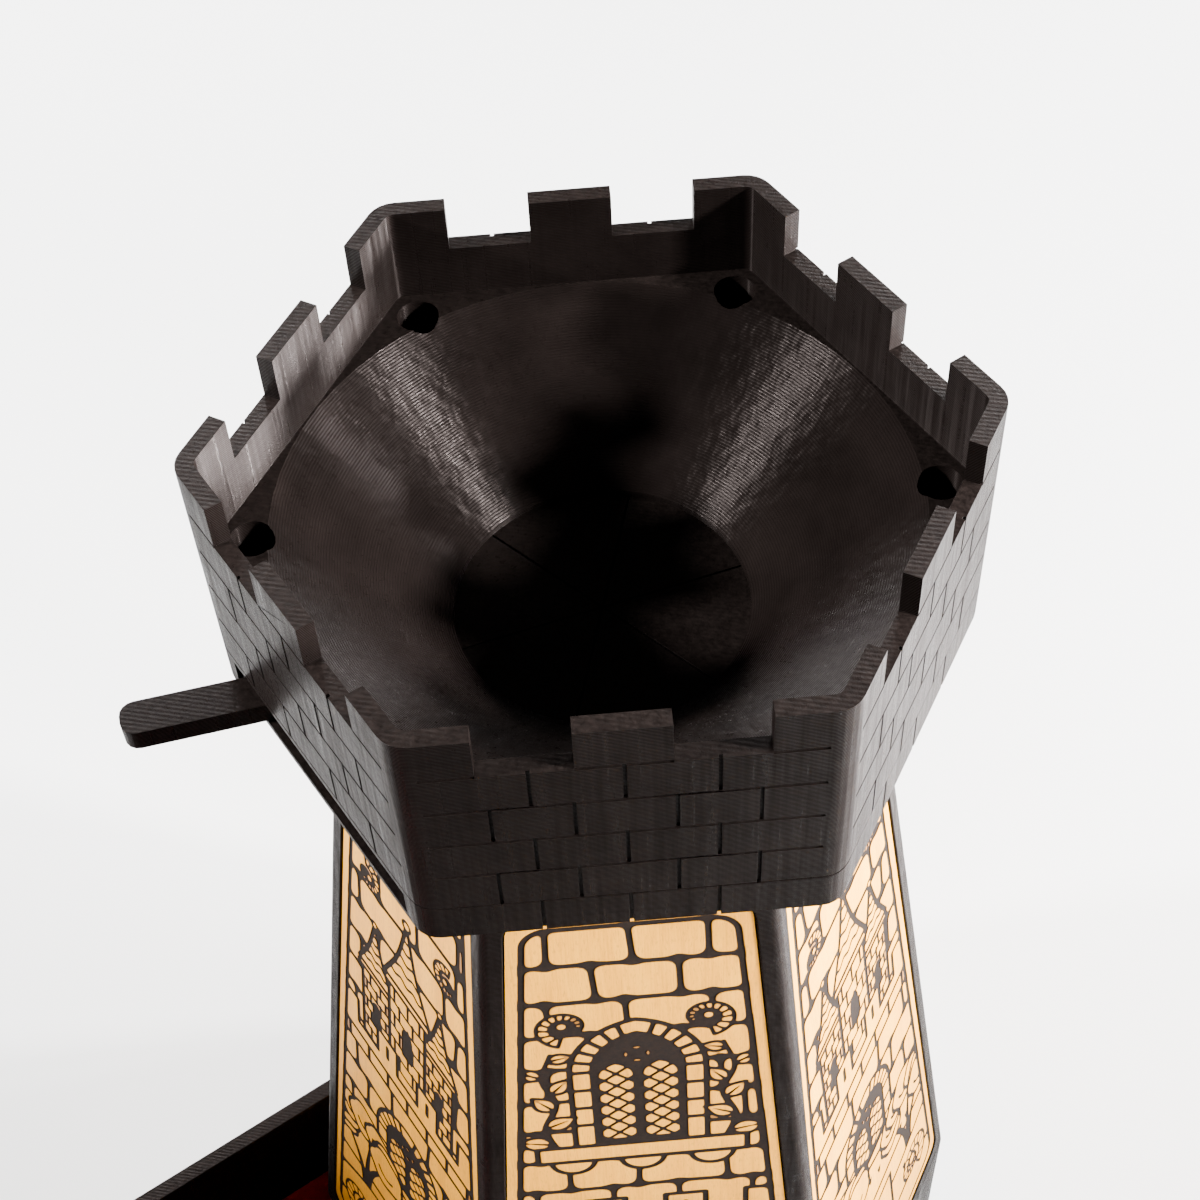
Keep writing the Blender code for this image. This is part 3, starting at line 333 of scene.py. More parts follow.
class Drawing:
    """Lines on a panel, kept as every cell's distance to the nearest line's edge.

    The distance is above zero on bare wood and below zero in a line."""

    def __init__(self, outline):
        self.outline = outline
        low = outline.min(axis=0)
        high = outline.max(axis=0)
        self.low = low
        self.high = high
        self.across = np.arange(low[0] - CELL, high[0] + CELL * 2.0, CELL)
        self.up = np.arange(low[1] - CELL, high[1] + CELL * 2.0, CELL)
        self.field = np.full((len(self.up), len(self.across)), FAR)

    def half_width(self, height):
        """Half of the panel's width at a height."""
        share = (height - self.low[1]) / (self.high[1] - self.low[1])
        top = self.outline[self.outline[:, 1] > self.high[1] - FRAME_INSET][:, 0].max()
        return self.high[0] + (top - self.high[0]) * share

    def window(self, points, reach):
        """The cells around some points."""
        low = points.min(axis=0) - reach
        high = points.max(axis=0) + reach
        columns = slice(*np.searchsorted(self.across, (low[0], high[0])))
        rows = slice(*np.searchsorted(self.up, (low[1], high[1])))
        grid = np.meshgrid(self.across[columns], self.up[rows])
        return (rows, columns), grid

    def line_distance(self, grid, points, widths):
        """Distance to the edge of a line through the points."""
        nearest = np.full(grid[0].shape, FAR)
        for start, end, first, last in zip(points, points[1:], widths, widths[1:]):
            run = end - start
            along = (grid[0] - start[0]) * run[0] + (grid[1] - start[1]) * run[1]
            share = np.clip(along / max(run @ run, CELL * CELL * 0.01), 0.0, 1.0)
            gap_across = grid[0] - start[0] - share * run[0]
            gap_up = grid[1] - start[1] - share * run[1]
            gap = np.hypot(gap_across, gap_up)
            nearest = np.minimum(nearest, gap - (first + (last - first) * share) / 2.0)
        return nearest

    def stroke(self, points, width=LINE, end_width=None, within=None, rounding=LINE_ROUNDING):
        """Engrave a line through the points, with its width changing evenly."""
        points = np.array(points)
        widths = np.linspace(width, width if end_width is None else end_width, len(points))
        place, grid = self.window(points, width / 2.0 + FAR)
        line = self.line_distance(grid, points, widths)
        if within is not None:
            line = np.maximum(line, within[place])
        self.field[place] = blended_minimum(self.field[place], line, rounding)

    def signed_distance(self, points):
        """Distance to a closed form's edge, below zero inside it."""
        closed = np.vstack([points, points[:1]])
        place, grid = self.window(closed, FAR)
        gap = self.line_distance(grid, closed, np.zeros(len(closed)))
        inside = np.zeros(grid[0].shape, dtype=bool)
        for start, end in zip(closed, closed[1:]):
            if start[1] == end[1]:
                continue
            crossing = start[0] + (grid[1] - start[1]) * (end[0] - start[0]) / (end[1] - start[1])
            inside ^= ((start[1] > grid[1]) != (end[1] > grid[1])) & (grid[0] < crossing)
        region = np.full(self.field.shape, FAR)
        region[place] = np.where(inside, -gap, gap)
        return region

    def shape(self, points, width=LINE, filled=False):
        """A closed form that hides what is behind it, with its own edge line."""
        region = self.signed_distance(np.array(points))
        self.field = np.maximum(self.field, np.minimum(-region, FAR))
        edge = region if filled else np.abs(region)
        self.field = blended_minimum(self.field, edge - width / 2.0)
        return region

    def keep_inside(self, points, width):
        """Clear everything outside a closed form and draw its edge."""
        region = self.signed_distance(np.array(points))
        self.field = np.maximum(self.field, np.minimum(region, FAR))
        self.field = blended_minimum(self.field, np.abs(region) - width / 2.0, FRAME_ROUNDING)

    def smooth(self):
        """Round the corners where lines meet."""
        reach = int(math.ceil(SMOOTHING_CELLS * 3.0))
        steps = np.arange(-reach, reach + 1)
        weights = np.exp(-0.5 * (steps / SMOOTHING_CELLS) ** 2)
        weights = weights / weights.sum()
        for axis in (0, 1):
            padding = [(reach, reach) if axis == k else (0, 0) for k in (0, 1)]
            padded = np.pad(self.field, padding, mode="edge")
            total = np.zeros(self.field.shape)
            for step, weight in enumerate(weights):
                part = [slice(None), slice(None)]
                part[axis] = slice(step, step + self.field.shape[axis])
                total += padded[tuple(part)] * weight
            self.field = total

    def sample(self, places):
        """The distances at some places between the cells."""
        column = (places[:, 0] - self.across[0]) / CELL
        row = (places[:, 1] - self.up[0]) / CELL
        left = column.astype(int)
        below = row.astype(int)
        right_share = column - left
        above_share = row - below
        lower = self.field[below, left] * (1.0 - right_share)
        lower = lower + self.field[below, left + 1] * right_share
        upper = self.field[below + 1, left] * (1.0 - right_share)
        upper = upper + self.field[below + 1, left + 1] * right_share
        return lower * (1.0 - above_share) + upper * above_share

    def contours(self, level):
        """Closed lines where the distance crosses a level."""
        value = self.field - level
        below = value < 0.0
        corner = below[:-1, :-1] * 1 + below[:-1, 1:] * 2 + below[1:, 1:] * 4 + below[1:, :-1] * 8
        width = value.shape[1]
        following = {}
        for row, column in zip(*np.nonzero((corner > 0) & (corner < 15))):
            cell = row * width + column
            sides = (cell * 2, (cell + 1) * 2 + 1, (cell + width) * 2, cell * 2 + 1)
            for start, end in CELL_LINES[corner[row, column]]:
                following[sides[start]] = sides[end]
        loops = []
        while following:
            first, key = following.popitem()
            loop = [first]
            while key != first:
                loop.append(key)
                key = following.pop(key)
            loops.append(self.crossing_places(value, np.array(loop)))
        return loops

    def crossing_places(self, value, keys):
        """Where cell sides with the given keys are crossed."""
        width = value.shape[1]
        upright = keys % 2
        row, column = np.divmod(keys // 2, width)
        near = value[row, column]
        far = value[row + upright, column + 1 - upright]
        share = near / (near - far)
        across = self.across[column] + share * CELL * (1 - upright)
        up = self.up[row] + share * CELL * upright
        return np.stack([across, up], axis=1)


def simplified(loop, error=SIMPLE_ERROR):
    """A closed line with the fewest of its points that keep it within an error."""
    closed = np.vstack([loop, loop[:1]])
    middle = len(loop) // 2
    kept = {0, middle}
    spans = [(0, middle), (middle, len(loop))]
    while spans:
        start, end = spans.pop()
        if end - start < 2:
            continue
        run = closed[end] - closed[start]
        away = closed[start + 1:end] - closed[start]
        length = max(math.hypot(run[0], run[1]), SIMPLE_ERROR)
        gaps = np.abs(away[:, 0] * run[1] - away[:, 1] * run[0]) / length
        worst = int(gaps.argmax())
        if gaps[worst] > error:
            split = start + 1 + worst
            kept.add(split)
            spans.append((start, split))
            spans.append((split, end))
    return loop[sorted(k for k in kept if k < len(loop))]


def arc(centre, radius, first, last, steps):
    """Points on an arc, with angles in degrees."""
    turns = np.radians(np.linspace(first, last, steps + 1))
    reach = np.array([radius * np.cos(turns), radius * np.sin(turns)])
    return np.array(centre) + reach.T


def ring(centre, radius, steps=24):
    """Points on a full circle."""
    return arc(centre, radius, 0.0, 360.0, steps)[:-1]


def pointing(angle):
    """A step of length one at an angle in degrees."""
    return np.array([math.cos(math.radians(angle)), math.sin(math.radians(angle))])


def curve(points, steps=10):
    """Points on a smooth curve through the given points."""
    points = np.array(points)
    ends = np.vstack([2.0 * points[0] - points[1], points, 2.0 * points[-1] - points[-2]])
    places = []
    for before, start, end, after in zip(ends, ends[1:], ends[2:], ends[3:]):
        for share in np.arange(steps) / steps:
            square = share * share
            cube = square * share
            place = 2.0 * start + (end - before) * share
            place = place + (2.0 * before - 5.0 * start + 4.0 * end - after) * square
            place = place + (3.0 * start - before - 3.0 * end + after) * cube
            places.append(place / 2.0)
    places.append(points[-1])
    return np.array(places)


def spiral(centre, radius, first, turns, grow=0.12, steps=40):
    """Points on a spiral that closes in from a radius to a share of it."""
    shares = np.linspace(0.0, 1.0, steps)
    angles = math.radians(first) + 2.0 * math.pi * turns * shares
    reach = radius * (1.0 - (1.0 - grow) * shares)
    return np.array(centre) + np.stack([reach * np.cos(angles), reach * np.sin(angles)], axis=1)


# Motifs


def draw_masonry(art, bottom, top, seed):
    """Courses of rounded stones across the whole width between two heights."""
    chance = random.Random(seed)
    rows = max(1, round((top - bottom) / BRICK_ROW))
    height = (top - bottom) / rows
    for row in range(rows):
        level = bottom + height * row
        half = art.half_width(level)
        heights = [level + chance.uniform(-BED_WAVE, BED_WAVE) for _ in range(BED_POINTS)]
        bed = np.stack([np.linspace(-half, half, BED_POINTS), heights], axis=1)
        art.stroke(curve(bed, 4), rounding=STONE_ROUNDING)
        place = -half + BRICK_LENGTH * (0.45 if row % 2 else 0.9) * chance.uniform(0.85, 1.15)
        while place < half:
            lean = chance.uniform(-JOINT_LEAN, JOINT_LEAN)
            joint = [(place - lean, level), (place + lean, level + height)]
            art.stroke(joint, rounding=STONE_ROUNDING)
            place += BRICK_LENGTH * chance.uniform(0.8, 1.15)


def draw_leaf(art, base, angle, length, width):
    """A pointed leaf with a middle rib and two side ribs."""
    shares = np.linspace(0.0, 1.0, 9)
    bulge = width / 2.0 * np.sin(np.pi * shares ** 0.8)
    upper = np.stack([length * shares, bulge], axis=1)
    lower = np.stack([length * shares, -bulge], axis=1)[-2:0:-1]
    turn = math.radians(angle)
    spin = np.array([[math.cos(turn), math.sin(turn)], [-math.sin(turn), math.cos(turn)]])
    place = np.array(base)
    art.shape(np.vstack([upper, lower]) @ spin + place, THIN_LINE)
    rib = np.array([(length * 0.1, 0.0), (length * 0.72, 0.0)]) @ spin + place
    art.stroke(rib, THIN_LINE * 0.8, THIN_LINE * 0.4)


def draw_vine(art, points, leaf_length, first_side=1, leaves=7):
    """A climbing stem that tapers, with leaves on alternate sides."""
    path = curve(points, 12)
    steps = np.hypot(*np.diff(path, axis=0).T)
    travelled = np.concatenate([[0.0], np.cumsum(steps)])
    art.stroke(path, LINE * 1.5, LINE * 0.7)
    for index in range(leaves):
        share = (index + 0.6) / leaves
        target = share * travelled[-1]
        spot = int(np.searchsorted(travelled, target))
        spot = min(max(spot, 1), len(path) - 1)
        run = path[spot] - path[spot - 1]
        heading = math.degrees(math.atan2(run[1], run[0]))
        side = first_side if index % 2 else -first_side
        size = leaf_length * (1.05 - 0.35 * share)
        draw_leaf(art, path[spot], heading + side * 58.0, size, size * 0.62)


def draw_scroll(art, centre, radius, first, turns, band, mirror=1.0):
    """A curled frond: a spiral band with cross ribs, ending in a round bud."""
    outer = spiral((0.0, 0.0), radius, first, turns)
    inner = spiral((0.0, 0.0), radius - band, first, turns, grow=0.02)
    flip = np.array([mirror, 1.0])
    place = np.array(centre)
    outline = np.vstack([outer, inner[::-1]]) * flip + place
    region = art.shape(outline, THIN_LINE)
    for index in range(2, len(outer) - 8, 2):
        rib = np.array([outer[index], inner[max(index - 1, 0)]]) * flip + place
        art.stroke(rib, THIN_LINE * 0.8, THIN_LINE * 0.6, within=region)
    bud = ring(outer[-1] * flip + place, radius * 0.2, 14)
    art.shape(bud, THIN_LINE)


def arch_outline(centre, half, rise, foot, steps=12):
    """A pointed arch over upright sides, from one foot to the other."""
    radius = (half * half + rise * rise) / (2.0 * half)
    reach = math.degrees(math.asin(min(rise / radius, 1.0)))
    right = arc((centre[0] + half - radius, centre[1]), radius, 0.0, reach, steps)
    left = arc((centre[0] - half + radius, centre[1]), radius, 180.0 - reach, 180.0, steps)
    feet_right = [(centre[0] + half, foot)]
    feet_left = [(centre[0] - half, foot)]
    return np.vstack([feet_right, right, left[1:], feet_left])


def draw_arch(art, centre, half, rise, foot, stone, stones=5):
    """A pointed arch of wedge stones with dressed jambs; gives its opening."""
    outer = arch_outline(centre, half + stone, rise + stone, foot)
    art.shape(outer, LINE)
    inner = arch_outline(centre, half, rise, foot)
    count = (len(outer) - 2) // 2
    for side in (0, 1):
        for index in range(1, stones + 1):
            share = index / (stones + 1)
            spot = 1 + int(round(share * count)) if side == 0 else -2 - int(round(share * count))
            art.stroke([inner[spot], outer[spot]], LINE * 0.85)
    level = centre[1]
    while level > foot + stone * 0.7:
        for sign in (-1.0, 1.0):
            start = centre[0] + sign * half
            art.stroke([(start, level), (start + sign * stone, level)], LINE * 0.85)
        level -= stone * 1.35
    return inner


def draw_window(art, centre, half, rise, foot, stone):
    """A two-light window with a round light over it, in an arch of stones."""
    inner = draw_arch(art, centre, half, rise, foot, stone)
    art.shape(inner, LINE * 1.2, filled=True)
    light_half = half * 0.4
    for sign in (-1.0, 1.0):
        middle = (centre[0] + sign * half * 0.5, centre[1] - half * 0.25)
        light = arch_outline(middle, light_half, light_half * 1.25, foot + half * 0.22)
        pane = art.shape(light, THIN_LINE * 0.5)
        for level in np.arange(foot, middle[1] + light_half * 2.0, half * 0.48):
            for rise_sign in (-1.0, 1.0):
                rise_half = light_half * 0.9 * rise_sign
                start = (middle[0] - light_half, level - rise_half)
                end = (middle[0] + light_half, level + rise_half)
                art.stroke([start, end], THIN_LINE * 0.8, within=pane)
    rose = (centre[0], centre[1] + rise * 0.42)
    art.shape(ring(rose, half * 0.3, 24), THIN_LINE * 0.5)
    for turn in range(4):
        petal = ring(rose, half * 0.13, 12) + pointing(45.0 + 90.0 * turn) * half * 0.13
        art.shape(petal, THIN_LINE * 0.3, filled=True)


def draw_ledge(art, level, half, height):
    """A stone ledge on small round corbels."""
    edge = [(-half, level), (half, level), (half, level + height), (-half, level + height)]
    art.shape(edge, LINE)
    count = max(3, int(half / height))
    for index in range(count):
        middle = -half + 2.0 * half * (index + 0.5) / count
        corbel = arc((middle, level), half / count * 0.62, 180.0, 360.0, 12)
        art.shape(corbel, LINE * 0.9)


def draw_arrow_loop(art, centre, height, width):
    """A cross-shaped loop with round ends in dressed stone."""
    stone = width * 1.15
    frame_points = [(-stone, -height * 0.62), (stone, -height * 0.62)]
    frame_points += [(stone, height * 0.62), (-stone, height * 0.62)]
    art.shape(np.array(frame_points) + np.array(centre), LINE)
    upright = [(centre[0], centre[1] - height * 0.42), (centre[0], centre[1] + height * 0.42)]
    level = [(centre[0] - width * 0.6, centre[1] + height * 0.1)]
    level.append((centre[0] + width * 0.6, centre[1] + height * 0.1))
    for bar in (upright, level):
        art.stroke(bar, LINE * 1.6)
        for end in bar:
            art.shape(ring(end, LINE * 1.15, 14), THIN_LINE * 0.3, filled=True)


def draw_battlement(art, level, height, teeth, wall):
    """A parapet with merlons and arrow slits across the whole width."""
    half = art.half_width(level)
    pitch = 2.0 * half / (teeth * 2.0 - 1.0)
    points = [(-half - FAR, level - wall)]
    for index in range(teeth):
        start = -half + pitch * 2.0 * index
        points += [(start, level), (start, level + height)]
        points += [(start + pitch, level + height), (start + pitch, level)]
    points.append((half + FAR, level - wall))
    art.shape(points, LINE)
    for index in range(teeth):
        middle = -half + pitch * (2.0 * index + 0.5)
        if 0 < index < teeth - 1:
            slit = [(middle, level + height * 0.2), (middle, level + height * 0.65)]
            art.stroke(slit, LINE * 1.1)
    cornice = [(-half, level - wall * 0.45), (half, level - wall * 0.45)]
    art.stroke(cornice, LINE)
    for index in range(teeth * 2):
        place = -half + pitch * (index + 0.5)
        art.stroke([(place, level - wall), (place, level - wall * 0.45)], LINE * 0.9)


def draw_turret(art, centre, half, wall_height, roof_height):
    """A round turret with a tiled pointed roof and a lancet."""
    low = centre[1]
    top = low + wall_height
    wall = [(centre[0] - half, low), (centre[0] + half, low)]
    wall += [(centre[0] + half, top), (centre[0] - half, top)]
    region = art.shape(wall, LINE)
    rows = max(2, int(wall_height / (half * 0.62)))
    for row in range(1, rows):
        level = low + wall_height * row / rows
        bed = [(centre[0] - half, level), (centre[0], level - half * 0.12), (centre[0] + half, level)]
        art.stroke(curve(bed, 5), THIN_LINE, within=region)
        shift = half * (0.35 if row % 2 else -0.2)
        for place in (-half * 0.6, half * 0.15, half * 0.8):
            spot = centre[0] + place + shift * 0.5
            art.stroke([(spot, level), (spot, level + wall_height / rows)], THIN_LINE, within=region)
    slit = arch_outline((centre[0], low + wall_height * 0.62), half * 0.24, half * 0.34,
                        low + wall_height * 0.38, 6)
    art.shape(slit, THIN_LINE, filled=True)
    eaves = [(centre[0] - half * 1.3, top), (centre[0] + half * 1.3, top)]
    eaves += [(centre[0] + half * 1.15, top + half * 0.35), (centre[0] - half * 1.15, top + half * 0.35)]
    art.shape(eaves, LINE * 0.9)
    base = top + half * 0.35
    left = curve([(centre[0] - half * 1.25, base), (centre[0] - half * 0.5, base + roof_height * 0.45),
                  (centre[0], base + roof_height)], 6)
    right = left[::-1] * np.array([-1.0, 1.0]) + np.array([2.0 * centre[0], 0.0])
    roof = art.shape(np.vstack([left, right[1:]]), LINE)
    for row in range(1, 6):
        level = base + roof_height * row / 6.5
        wave = [(centre[0] + half * 1.3 * (k / 4.0 - 1.0), level + (k % 2) * half * 0.16) for k in range(9)]
        art.stroke(curve(wave, 3), THIN_LINE, within=roof)
    art.shape(ring((centre[0], base + roof_height), half * 0.2, 12), THIN_LINE)


def draw_gate(art, half, height):
    """An arched plank door with strap hinges and a ring, at the panel's foot."""
    low = art.low[1] + FRAME_INSET
    inner = draw_arch(art, (0.0, low + height * 0.55), half, height * 0.4, low, half * 0.32, 4)
    region = art.shape(inner, LINE)
    for index in range(-2, 3):
        place = half * index / 2.5
        art.stroke([(place, low), (place, low + height)], THIN_LINE, within=region)
    for level in (low + height * 0.22, low + height * 0.6):
        strap = [(-half, level), (half * 0.55, level)]
        art.stroke(strap, LINE * 2.1, LINE, within=region)
        art.shape(ring((half * 0.62, level), half * 0.1, 12), THIN_LINE)
    knocker = arc((half * 0.62, low + height * 0.4), half * 0.13, 0.0, 360.0, 16)
    art.stroke(knocker, THIN_LINE * 1.2)


def draw_tree(art, foot, height, spread, seed):
    """A tree with a forked trunk and rounded leaf clouds."""
    chance = random.Random(seed)
    x, low = foot
    for sign in (-1.0, 0.2, 1.0):
        limb = [(x, low), (x + sign * spread * 0.12, low + height * 0.35)]
        limb.append((x + sign * spread * 0.45, low + height * 0.62))
        art.stroke(curve(limb, 8), LINE * 2.4, LINE * 0.8)
    for index in range(7):
        turn = math.radians(200.0 - 36.7 * index)
        middle = (x + spread * 0.5 * math.cos(turn), low + height * (0.72 + 0.16 * math.sin(turn)))
        radius = spread * chance.uniform(0.26, 0.34)
        lobes = ring((0.0, 0.0), 1.0, 48)
        swell = 1.0 + 0.12 * np.abs(np.sin(np.radians(np.linspace(0.0, 360.0, 49)[:-1]) * 2.5))
        cloud = lobes * radius * swell[:, None] + np.array(middle)
        art.shape(cloud, LINE * 0.85)
        art.stroke(arc(middle, radius * 0.5, 200.0, 320.0, 8), THIN_LINE)


def draw_hill(art, level, sag, seed):
    """Rolling ground with tufts, over the panel's whole width."""
    half = art.half_width(level) + FAR
    ridge = curve([(-half, level - sag), (-half * 0.4, level + sag), (half * 0.3, level - sag * 0.4),
                   (half, level + sag * 0.7)], 10)
    ground = np.vstack([ridge, [(half, level - sag * 4.0), (-half, level - sag * 4.0)]])
    region = art.shape(ground, LINE)
    chance = random.Random(seed)
    for _ in range(9):
        x = chance.uniform(-half, half)
        y = level - sag * chance.uniform(0.8, 3.4)
        for lean in (-0.7, 0.0, 0.7):
            art.stroke([(x, y), (x + lean * MM, y + 1.7 * MM)], THIN_LINE, THIN_LINE * 0.5, within=region)


# Designs: each fills a panel from its head to its foot


def mirrored(points, sign, level=0.0):
    """Points given in millimetres for the right half, for one side and from a level."""
    return np.array(points) * np.array([sign, 1.0]) * MM + np.array([0.0, level])


def design_window(art, top):
    """A two-light window with fronds and vines, over a battlement and a gate."""
    foot = art.low[1] + FRAME_INSET
    sill = top - 63.0 * MM
    draw_masonry(art, foot, top, 3)
    draw_window(art, (0.0, sill + 23.0 * MM), 7.6 * MM, 10.4 * MM, sill, 4.0 * MM)
    for sign in (-1.0, 1.0):
        vine = [(14.6, -2.0), (16.6, 6.0), (14.4, 14.0), (16.4, 21.5), (14.6, 29.0)]
        draw_vine(art, mirrored(vine, sign, sill), 6.4 * MM, int(sign), 6)
        bud = mirrored((11.6, 36.5), sign, sill)
        draw_scroll(art, bud, 5.6 * MM, -75.0, 1.3, 2.6 * MM, sign)
    draw_ledge(art, sill - 4.8 * MM, 18.6 * MM, 4.8 * MM)
    draw_battlement(art, sill - 27.0 * MM, 8.5 * MM, 4, 9.0 * MM)
    draw_arrow_loop(art, (0.0, sill - 52.0 * MM), 23.0 * MM, 6.6 * MM)
    for sign in (-1.0, 1.0):
        vine = [(26.5, 34.0), (21.5, 45.0), (24.5, 56.0), (19.5, 66.0), (21.0, 77.0)]
        draw_vine(art, mirrored(vine, sign, art.low[1]), 8.5 * MM, -int(sign), 7)
        bud = mirrored((20.5, 26.0), sign, art.low[1])
        draw_scroll(art, bud, 7.6 * MM, -80.0, 1.4, 3.3 * MM, sign)
    draw_gate(art, 11.5 * MM, 40.0 * MM)


def design_turrets(art, top):
    """Turrets with pointed roofs over a battlement, hills, trees and a loop."""
    crest = top - BRICK_ROW * 2.0
    base = crest - 62.0 * MM
    draw_masonry(art, base - 48.0 * MM, top, 21)
    for sign in (-1.0, 1.0):
        frond = mirrored((13.0, -7.5), sign, crest)
        draw_scroll(art, frond, 5.0 * MM, 80.0, 1.3, 2.3 * MM, sign)
        draw_turret(art, (sign * 11.0 * MM, base - 2.0 * MM), 4.8 * MM, 25.0 * MM, 17.0 * MM)
    draw_turret(art, (0.0, base), 6.2 * MM, 30.0 * MM, 23.0 * MM)
    draw_battlement(art, base, 8.0 * MM, 4, 9.0 * MM)
    window_foot = base - 42.0 * MM
    draw_window(art, (0.0, window_foot + 14.0 * MM), 7.6 * MM, 8.0 * MM, window_foot, 4.0 * MM)
    draw_hill(art, base - 46.0 * MM, 3.4 * MM, 5)
    draw_tree(art, (-17.0 * MM, base - 70.0 * MM), 36.0 * MM, 18.0 * MM, 8)
    draw_tree(art, (18.0 * MM, base - 72.0 * MM), 33.0 * MM, 17.0 * MM, 9)
    draw_hill(art, base - 68.0 * MM, 3.6 * MM, 6)
    for sign in (-1.0, 1.0):
        frond = mirrored((19.0, 15.0), sign, art.low[1])
        draw_scroll(art, frond, 8.4 * MM, -60.0, 1.4, 3.6 * MM, sign)
    draw_arrow_loop(art, (0.0, art.low[1] + 18.0 * MM), 20.0 * MM, 6.6 * MM)


def design_vines(art, top):
    """Masonry grown over with fronds, round a round window and a plank door."""
    foot = art.low[1] + FRAME_INSET
    middle = top - 37.0 * MM
    draw_masonry(art, foot, top, 44)
    centre = np.array([0.0, middle])
    art.shape(ring(centre, 14.0 * MM, 64), LINE)
    for turn in range(12):
        aim = pointing(30.0 * turn + 15.0)
        art.stroke([centre + aim * 10.0 * MM, centre + aim * 14.0 * MM], LINE * 0.9)
    art.shape(ring(centre, 10.0 * MM, 56), LINE, filled=True)
    for turn in range(6):
        light = ring(centre + pointing(60.0 * turn + 30.0) * 6.0 * MM, 2.6 * MM)
        art.shape(light, THIN_LINE * 0.4)
    art.shape(ring(centre, 2.3 * MM), THIN_LINE * 0.4)
    for sign in (-1.0, 1.0):
        vine = [(20.0, -62.0), (16.6, -52.0), (19.5, -42.0), (15.6, -32.0), (17.6, -22.0)]
        draw_vine(art, mirrored(vine, sign, middle), 7.6 * MM, int(sign), 7)
        frond = mirrored((10.2, -21.0), sign, middle)
        draw_scroll(art, frond, 6.0 * MM, -30.0, 1.4, 2.7 * MM, sign)
    draw_ledge(art, middle - 36.0 * MM, 15.0 * MM, 4.6 * MM)
    draw_arrow_loop(art, (0.0, middle - 56.0 * MM), 21.0 * MM, 6.4 * MM)
    draw_battlement(art, middle - 84.0 * MM, 8.5 * MM, 5, 9.0 * MM)
    for sign in (-1.0, 1.0):
        frond = mirrored((20.5, 28.0), sign, art.low[1])
        draw_scroll(art, frond, 7.4 * MM, -60.0, 1.4, 3.2 * MM, sign)
        frond = mirrored((21.5, 12.0), sign, art.low[1])
        draw_scroll(art, frond, 6.6 * MM, 60.0, 1.3, 2.8 * MM, sign)
    draw_gate(art, 11.0 * MM, 38.0 * MM)


DESIGNS = (design_window, design_turrets, design_vines)
PANEL_DESIGNS = (1, 0, 1, 2, 0, 2)


# Panels


def panel_axes():
    """The front panel's origin, up, outward and thickness, read from its CAD node."""
    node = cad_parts["wood_panel_1"].data
    outer = max((face for face in node.polygons if face.normal.y < 0.0), key=lambda face: face.area)
    outward = outer.normal.copy()
    up = outward.cross(Vector((1.0, 0.0, 0.0)))
    places = [vertex.co for vertex in node.vertices]
    lowest = min(place.dot(up) for place in places)
    level = max(place.dot(outward) for place in places)
    thickness = level - min(place.dot(outward) for place in places)
    origin = outward * level + up * lowest
    return origin, up, outward, thickness


def panel_outline(origin, up, outward):
    """The front panel's outline as across and up values."""
    copy = copied_solid("wood_panel_1", "panel_pattern")
    face = max(copy.data.polygons, key=lambda face: (face.normal.dot(outward) > 0.99) * face.area)
    places = [copy.data.vertices[index].co - origin for index in face.vertices]
    bpy.data.objects.remove(copy)
    return np.array([(place.x, place.dot(up)) for place in places])


def rounded_frame(art):
    """The frame line's outline, inside the panel's edge and round at its corners."""
    low = art.low[1] + FRAME_INSET
    high = art.high[1] - FRAME_INSET
    low_half = art.half_width(low) - FRAME_INSET
    high_half = art.half_width(high) - FRAME_INSET
    radius = FRAME_CORNER
    points = [arc((low_half - radius, low + radius), radius, -90.0, 0.0, 8)]
    points.append(arc((high_half - radius, high - radius), radius, 0.0, 90.0, 8))
    points.append(arc((radius - high_half, high - radius), radius, 90.0, 180.0, 8))
    points.append(arc((radius - low_half, low + radius), radius, 180.0, 270.0, 8))
    return np.vstack(points)


